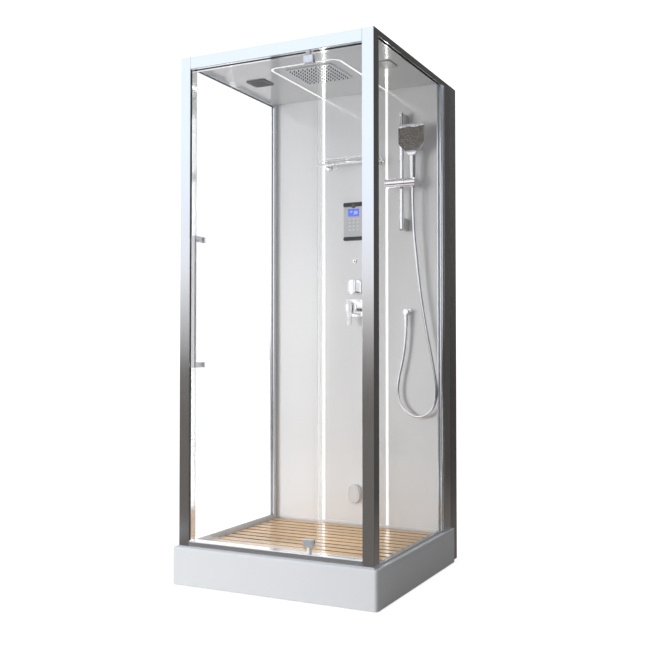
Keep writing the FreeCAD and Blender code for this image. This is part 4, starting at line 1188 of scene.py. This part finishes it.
@dataclass
class Hose(Assembly):
    """Shower hose from the wall outlet to the foot of the handset."""

    diameter: float = 13.5 * MM
    length: float = 1.569
    smooth_below: float = math.radians(40.0)
    blend_low: Point = (0.337, 0.273, 1.12)
    blend_high: Point = (0.310, 0.264, 1.60)
    route: list[Point] = field(default_factory=lambda: [
        (0.2660, 0.28650, 1.0456), (0.2630, 0.28650, 0.9450), (0.2200, 0.28650, 0.7780),
        (0.2380, 0.28650, 0.6920), (0.3100, 0.28650, 0.6400), (0.3860, 0.28650, 0.6680),
        (0.4130, 0.28213, 0.7520), (0.3940, 0.27776, 0.8800), (0.3620, 0.27338, 1.0470),
        (0.3370, 0.26901, 1.2130), (0.3220, 0.26464, 1.3720), (0.3125, 0.26027, 1.4860),
        (0.3105, 0.25590, 1.60577), (0.3105, 0.25405, 1.71175)])

    def build(self) -> None:
        """Hang the hose on one smooth curve."""
        curve = bpy.data.curves.new("hose_line", "CURVE")
        curve.dimensions = "3D"
        curve.resolution_u = 10
        spline = curve.splines.new("NURBS")
        spline.points.add(len(self.route) - 1)
        for point, place in zip(spline.points, self.route):
            point.co = (*place, 1.0)
        spline.order_u = 3
        spline.use_endpoint_u = True
        hose = bpy.data.objects.new("shower_hose", curve)
        bpy.context.scene.collection.objects.link(hose)
        bpy.context.view_layer.update()
        line = bpy.data.meshes.new_from_object(hose.evaluated_get(bpy.context.evaluated_depsgraph_get()))
        bpy.data.meshes.remove(line)
        curve.bevel_depth = self.diameter / 2
        curve.bevel_resolution = 6
        curve.use_fill_caps = True
        alone(hose)
        bpy.ops.object.convert(target="MESH")
        hose = bpy.context.view_layer.objects.active
        bpy.ops.object.shade_smooth_by_angle(angle=self.smooth_below)
        hose.data.materials.clear()
        hose.data.materials.append(self.palette["hose"])
        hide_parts("hose")
        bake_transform(hose)


@dataclass
class Services(Assembly):
    """Pipes and boxes behind the wall."""

    paints = {"valve_bodies": "brass", "supply_pipes": "copper", "steam_generator": "steel_sheet",
              "control_box": "dark_plastic"}


@dataclass(frozen=True)
class Lamp:
    """Soft square lamp that no mirror and no pane shows."""

    name: str
    place: Point
    aim: Point
    power: float
    size: float
    spread: float

    def hang(self) -> None:
        """Add the lamp to the scene."""
        data = bpy.data.lights.new(self.name, "AREA")
        data.energy = self.power
        data.size = self.size
        data.spread = math.radians(self.spread)
        lamp = bpy.data.objects.new(self.name, data)
        lamp.location = self.place
        lamp.rotation_euler = (Vector(self.aim) - Vector(self.place)).to_track_quat("-Z", "Y").to_euler()
        lamp.visible_camera = False
        lamp.visible_glossy = False
        lamp.visible_transmission = False
        bpy.context.scene.collection.objects.link(lamp)


@dataclass
class Studio:
    """Camera, floor, surroundings and lamps."""

    place: Point = (1.754, -3.5155, 0.954)
    pitch: float = 91.44
    yaw: float = 26.46
    lens: float = 50.555
    sensor: float = 36.0
    lamps: tuple[Lamp, ...] = (Lamp("key", (-2.6, -4.6, 0.9), (0.0, 0.0, 0.2), 32.0, 2.2, 70.0),
                               Lamp("fill", (0.38, -0.18, 0.55), (-0.43, -0.20, 0.20), 0.60, 0.5, 100.0))
    floor_size: float = 120.0
    floor_tone: tuple[Colour, Colour] = ((0.70, 0.70, 0.70), (0.72, 0.72, 0.72))
    floor_glow: float = 0.80
    glass_glow: float = 1.15
    white: float = 1.22
    ambient: Range = (0.17, 0.74)
    lit_from: Point = (-0.78, -0.34, 0.52)
    lit_span: Range = (-0.4, 0.95)
    mirror_light: Colour = (1.00, 1.09, 1.26)
    mirror_level: Colour = (0.92, 0.88, 0.86)
    mirror_dark: Colour = (0.150, 0.136, 0.126)
    mirror_right: Colour = (0.070, 0.065, 0.061)
    inside_light: Colour = (1.10, 1.10, 1.12)
    inside_sky: Colour = (1.50, 1.50, 1.54)
    inside_dark: Colour = (0.10, 0.098, 0.096)
    sky_left: Range = (-0.85, -0.55)
    sky_right: Range = (0.0, 0.22)
    sky_rise: Range = (-0.025, 0.08)
    sky_blue: Range = (0.04, 0.22)
    sky_shade: Range = (0.0, 0.3)
    sky_inside: Range = (0.30, 0.62)
    floor_left: Range = (-1.6, -0.9)
    floor_front: Range = (-1.6, -1.0)
    floor_shade: Range = (0.6, 1.4)
    floor_inside: Range = (0.3, 1.2)
    floor_dark: tuple[Range, Range] = ((-3.4, -2.6), (-14.0, -10.0))

    def build(self) -> None:
        """Set up the whole studio."""
        self.camera()
        self.world()
        self.floor()
        for lamp in self.lamps:
            lamp.hang()
        bpy.context.scene.view_settings.view_transform = "Standard"

    def camera(self) -> None:
        """Camera at the photograph's place and angle."""
        data = bpy.data.cameras.new("camera")
        data.lens = self.lens
        data.sensor_width = self.sensor
        camera = bpy.data.objects.new("camera", data)
        camera.location = self.place
        camera.rotation_euler = (math.radians(self.pitch), 0.0, math.radians(self.yaw))
        bpy.context.scene.collection.objects.link(camera)
        bpy.context.scene.camera = camera

    def world(self) -> None:
        """White surroundings, soft light from the left, and a shaded room for mirrors."""
        world = bpy.data.worlds.new("studio")
        bpy.context.scene.world = world
        world.use_nodes = True
        g = Graph(world.node_tree, "ShaderNodeOutputWorld")
        way = g.node("ShaderNodeTexCoord").outputs["Generated"]
        dot = g.node("ShaderNodeVectorMath", {0: way, 1: self.lit_from}, operation="DOT_PRODUCT")
        soft = g.span(dot.outputs["Value"], *self.lit_span, *self.ambient)
        to = g.split(way)
        left = g.span(to["X"], *self.sky_left, 1.0, 0.0)
        above = g.product(g.span(to["Z"], *self.sky_rise), g.span(to["X"], *self.sky_right, 1.0, 0.0))
        sky = g.tint(g.span(to["Z"], *self.sky_blue), self.mirror_level, self.mirror_light)
        shade = g.tint(g.span(to["X"], *self.sky_shade), self.mirror_dark, self.mirror_right)
        room = g.tint(left, g.tint(above, shade, sky), self.mirror_light)
        inside = g.tint(g.span(to["X"], *self.sky_inside, 1.0, 0.0), self.inside_dark, self.inside_sky)
        seen, mirror, through = g.before_matt()
        look = g.tint(mirror, (self.white,) * 3, g.tint(through, room, inside))
        grey = g.node("ShaderNodeCombineColor", {"Red": soft, "Green": soft, "Blue": soft}).outputs["Color"]
        light = g.node("ShaderNodeBackground", {"Color": g.tint(seen, grey, look), "Strength": 1.0})
        g.shown(light.outputs["Background"])

    def floor(self) -> None:
        """Pale floor that keeps the object's shadow; mirrors see painted dark and light reflection tones on
        it, and through glass it shows a painted brighter glow.
        """
        fresh()
        bpy.ops.mesh.primitive_plane_add(size=self.floor_size)
        floor = bpy.context.view_layer.objects.active
        floor.name = "floor"
        s = Shader("floor_white")
        at = s.split(s.place())
        seen, mirror, through = s.before_matt()
        # painted reflection: dark and light room tones that only mirrors see on the floor
        left = s.product(s.span(at["X"], *self.floor_left, 1.0, 0.0), s.span(at["Y"], *self.floor_front))
        shade = s.tint(s.span(at["X"], *self.floor_shade), self.mirror_dark, self.mirror_right)
        near, end = self.floor_dark
        dark = s.product(s.span(at["Y"], *near, 1.0, 0.0), s.span(at["Y"], *end))
        inside = s.tint(s.span(at["X"], *self.floor_inside), self.inside_light, self.inside_dark)
        inside = s.tint(dark, inside, self.inside_dark)
        room = s.tint(through, s.tint(left, shade, self.mirror_light), inside)
        # painted light: seen through glass the floor glows brighter than seen directly
        pale = s.tint(through, (self.floor_glow,) * 3, (self.glass_glow,) * 3)
        look = s.tint(mirror, pale, room)
        light = s.node("ShaderNodeEmission", {"Color": look, "Strength": seen}).outputs["Emission"]
        matt = s.bsdf("Diffuse", {"Color": s.tint(s.noise(s.place(), 1.5, 2.0), *self.floor_tone)})
        clear = s.sum("SUBTRACT", 1.0, s.product(seen, mirror))
        lit = s.node("ShaderNodeMixShader", {0: clear, 2: matt}).outputs["Shader"]
        s.shown(s.node("ShaderNodeAddShader", {0: light, 1: lit}).outputs["Shader"])
        floor.data.materials.append(s.material)


def finishes() -> list[Finish]:
    """All finishes of the cabin.

    Returns:
        The finishes in the order of their kinds.
    """
    low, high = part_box("duckboard_slats")
    lane, slats = 13 * MM, 12
    pitch = (high.y - low.y + lane) / slats
    metal = (0.88, 0.90, 0.92)
    return [
        GlossSheet("acrylic", (0.72, 0.735, 0.76), 0.14),
        GlossSheet("wall", (0.92, 0.91, 0.92), 0.12, 0.015),
        GlossSheet("ceiling", (0.83, 0.825, 0.82), 0.14, 0.015),
        OiledTimber("timber", (0.98, 0.70, 0.43), (0.82, 0.55, 0.31), low.y - lane / 2, pitch),
        OiledTimber("bearer_timber", (0.60, 0.40, 0.23), (0.44, 0.27, 0.13), -0.45, 0.1, 0.5),
        BrushedMetal("frame_upright", metal, 0.12, Axis.Z),
        BrushedMetal("frame_across", metal, 0.12, Axis.X),
        BrushedMetal("frame_along", metal, 0.12, Axis.Y),
        BrushedMetal("channel", (0.88, 0.90, 0.93), 0.16, Axis.Z, 0.75),
        BrushedMetal("sill_metal", metal, 0.18, Axis.X, 0.90),
        BrushedMetal("rear_frame", (0.62, 0.61, 0.59), 0.28, Axis.Z),
        BrushedMetal("handle_satin", (0.68, 0.675, 0.68), 0.34, Axis.Z, 0.5),
        BrushedMetal("satin_plate", (0.82, 0.84, 0.87), 0.30, Axis.Z, 0.7),
        BrushedMetal("rain_plate", (0.76, 0.76, 0.76), 0.14, Axis.X, 0.7),
        BrushedMetal("steel_sheet", (0.66, 0.66, 0.66), 0.30, Axis.X),
        BrushedMetal("galvanised", (0.56, 0.57, 0.58), 0.42, Axis.Z),
        BrushedMetal("brass", (0.72, 0.53, 0.25), 0.30, Axis.Z),
        BrushedMetal("copper", (0.74, 0.42, 0.29), 0.28, Axis.Z),
        Chrome("chrome", (0.95, 0.955, 0.965), 0.05),
        Chrome("slider_chrome", (0.93, 0.93, 0.94), 0.03),
        Chrome("hose", (0.93, 0.935, 0.95), 0.10),
        ClearGlass("front_glass", Axis.Y),
        ClearGlass("side_glass", Axis.X),
        ClearGlass("shelf_glass", Axis.Z, (0.985, 0.992, 0.990), (0.80, 0.83, 0.83), 0.35, 0.4),
        ClearVinyl("vinyl"),
        OpalLight("strip_light", 0.8, Axis.Y),
        OpalLight("loop_light", 0.4, Axis.Z),
        MouldedPlastic("gasket", (0.045, 0.045, 0.048), 0.55),
        MouldedPlastic("nozzle", (0.012, 0.012, 0.013), 0.7, 0.10, 0.02),
        MouldedPlastic("fan_grey", (0.12, 0.11, 0.10), 0.45, 0.10, 0.25),
        MouldedPlastic("speaker_grey", (0.55, 0.55, 0.54), 0.25),
        MouldedPlastic("dark_plastic", (0.07, 0.07, 0.075), 0.4),
        MouldedPlastic("bar_black", (0.022, 0.023, 0.026), 0.35, 0.10, 0.12),
        MouldedPlastic("white_plastic", (0.78, 0.78, 0.79), 0.3),
        MouldedPlastic("waste_plastic", (0.62, 0.62, 0.63), 0.4),
        MouldedPlastic("fascia", (0.60, 0.60, 0.62), 0.32, 0.05),
        MouldedPlastic("key_white", (0.86, 0.86, 0.86), 0.35),
        MouldedPlastic("bracket_grey", (0.62, 0.62, 0.63), 0.3, 0.05),
        MouldedPlastic("spray_tip", (0.20, 0.19, 0.175), 0.5),
        PaddleSkin("paddle", (0.84, 0.85, 0.87), (0.135, 0.124, 0.112), 1.815, 1.929),
        LitFilm("screen", (0.06, 0.12, 0.70), 0.66),
        LitFilm("digit_white", (0.85, 0.88, 0.95), 0.5),
    ]


def main() -> None:
    """Dress the cabin and set up the studio."""
    logging.basicConfig(level=logging.INFO, format="%(message)s")
    Studio().build()
    palette = {finish.name: finish.make() for finish in finishes()}
    for assembly in (Hose(), Base(), Frame(), Skins(), Panes(), Door(), Ceiling(), Controls(), Taps(),
                     SlideRail(), Services()):
        assembly.dress(palette)
    fresh()


if __name__ == "__main__":
    main()
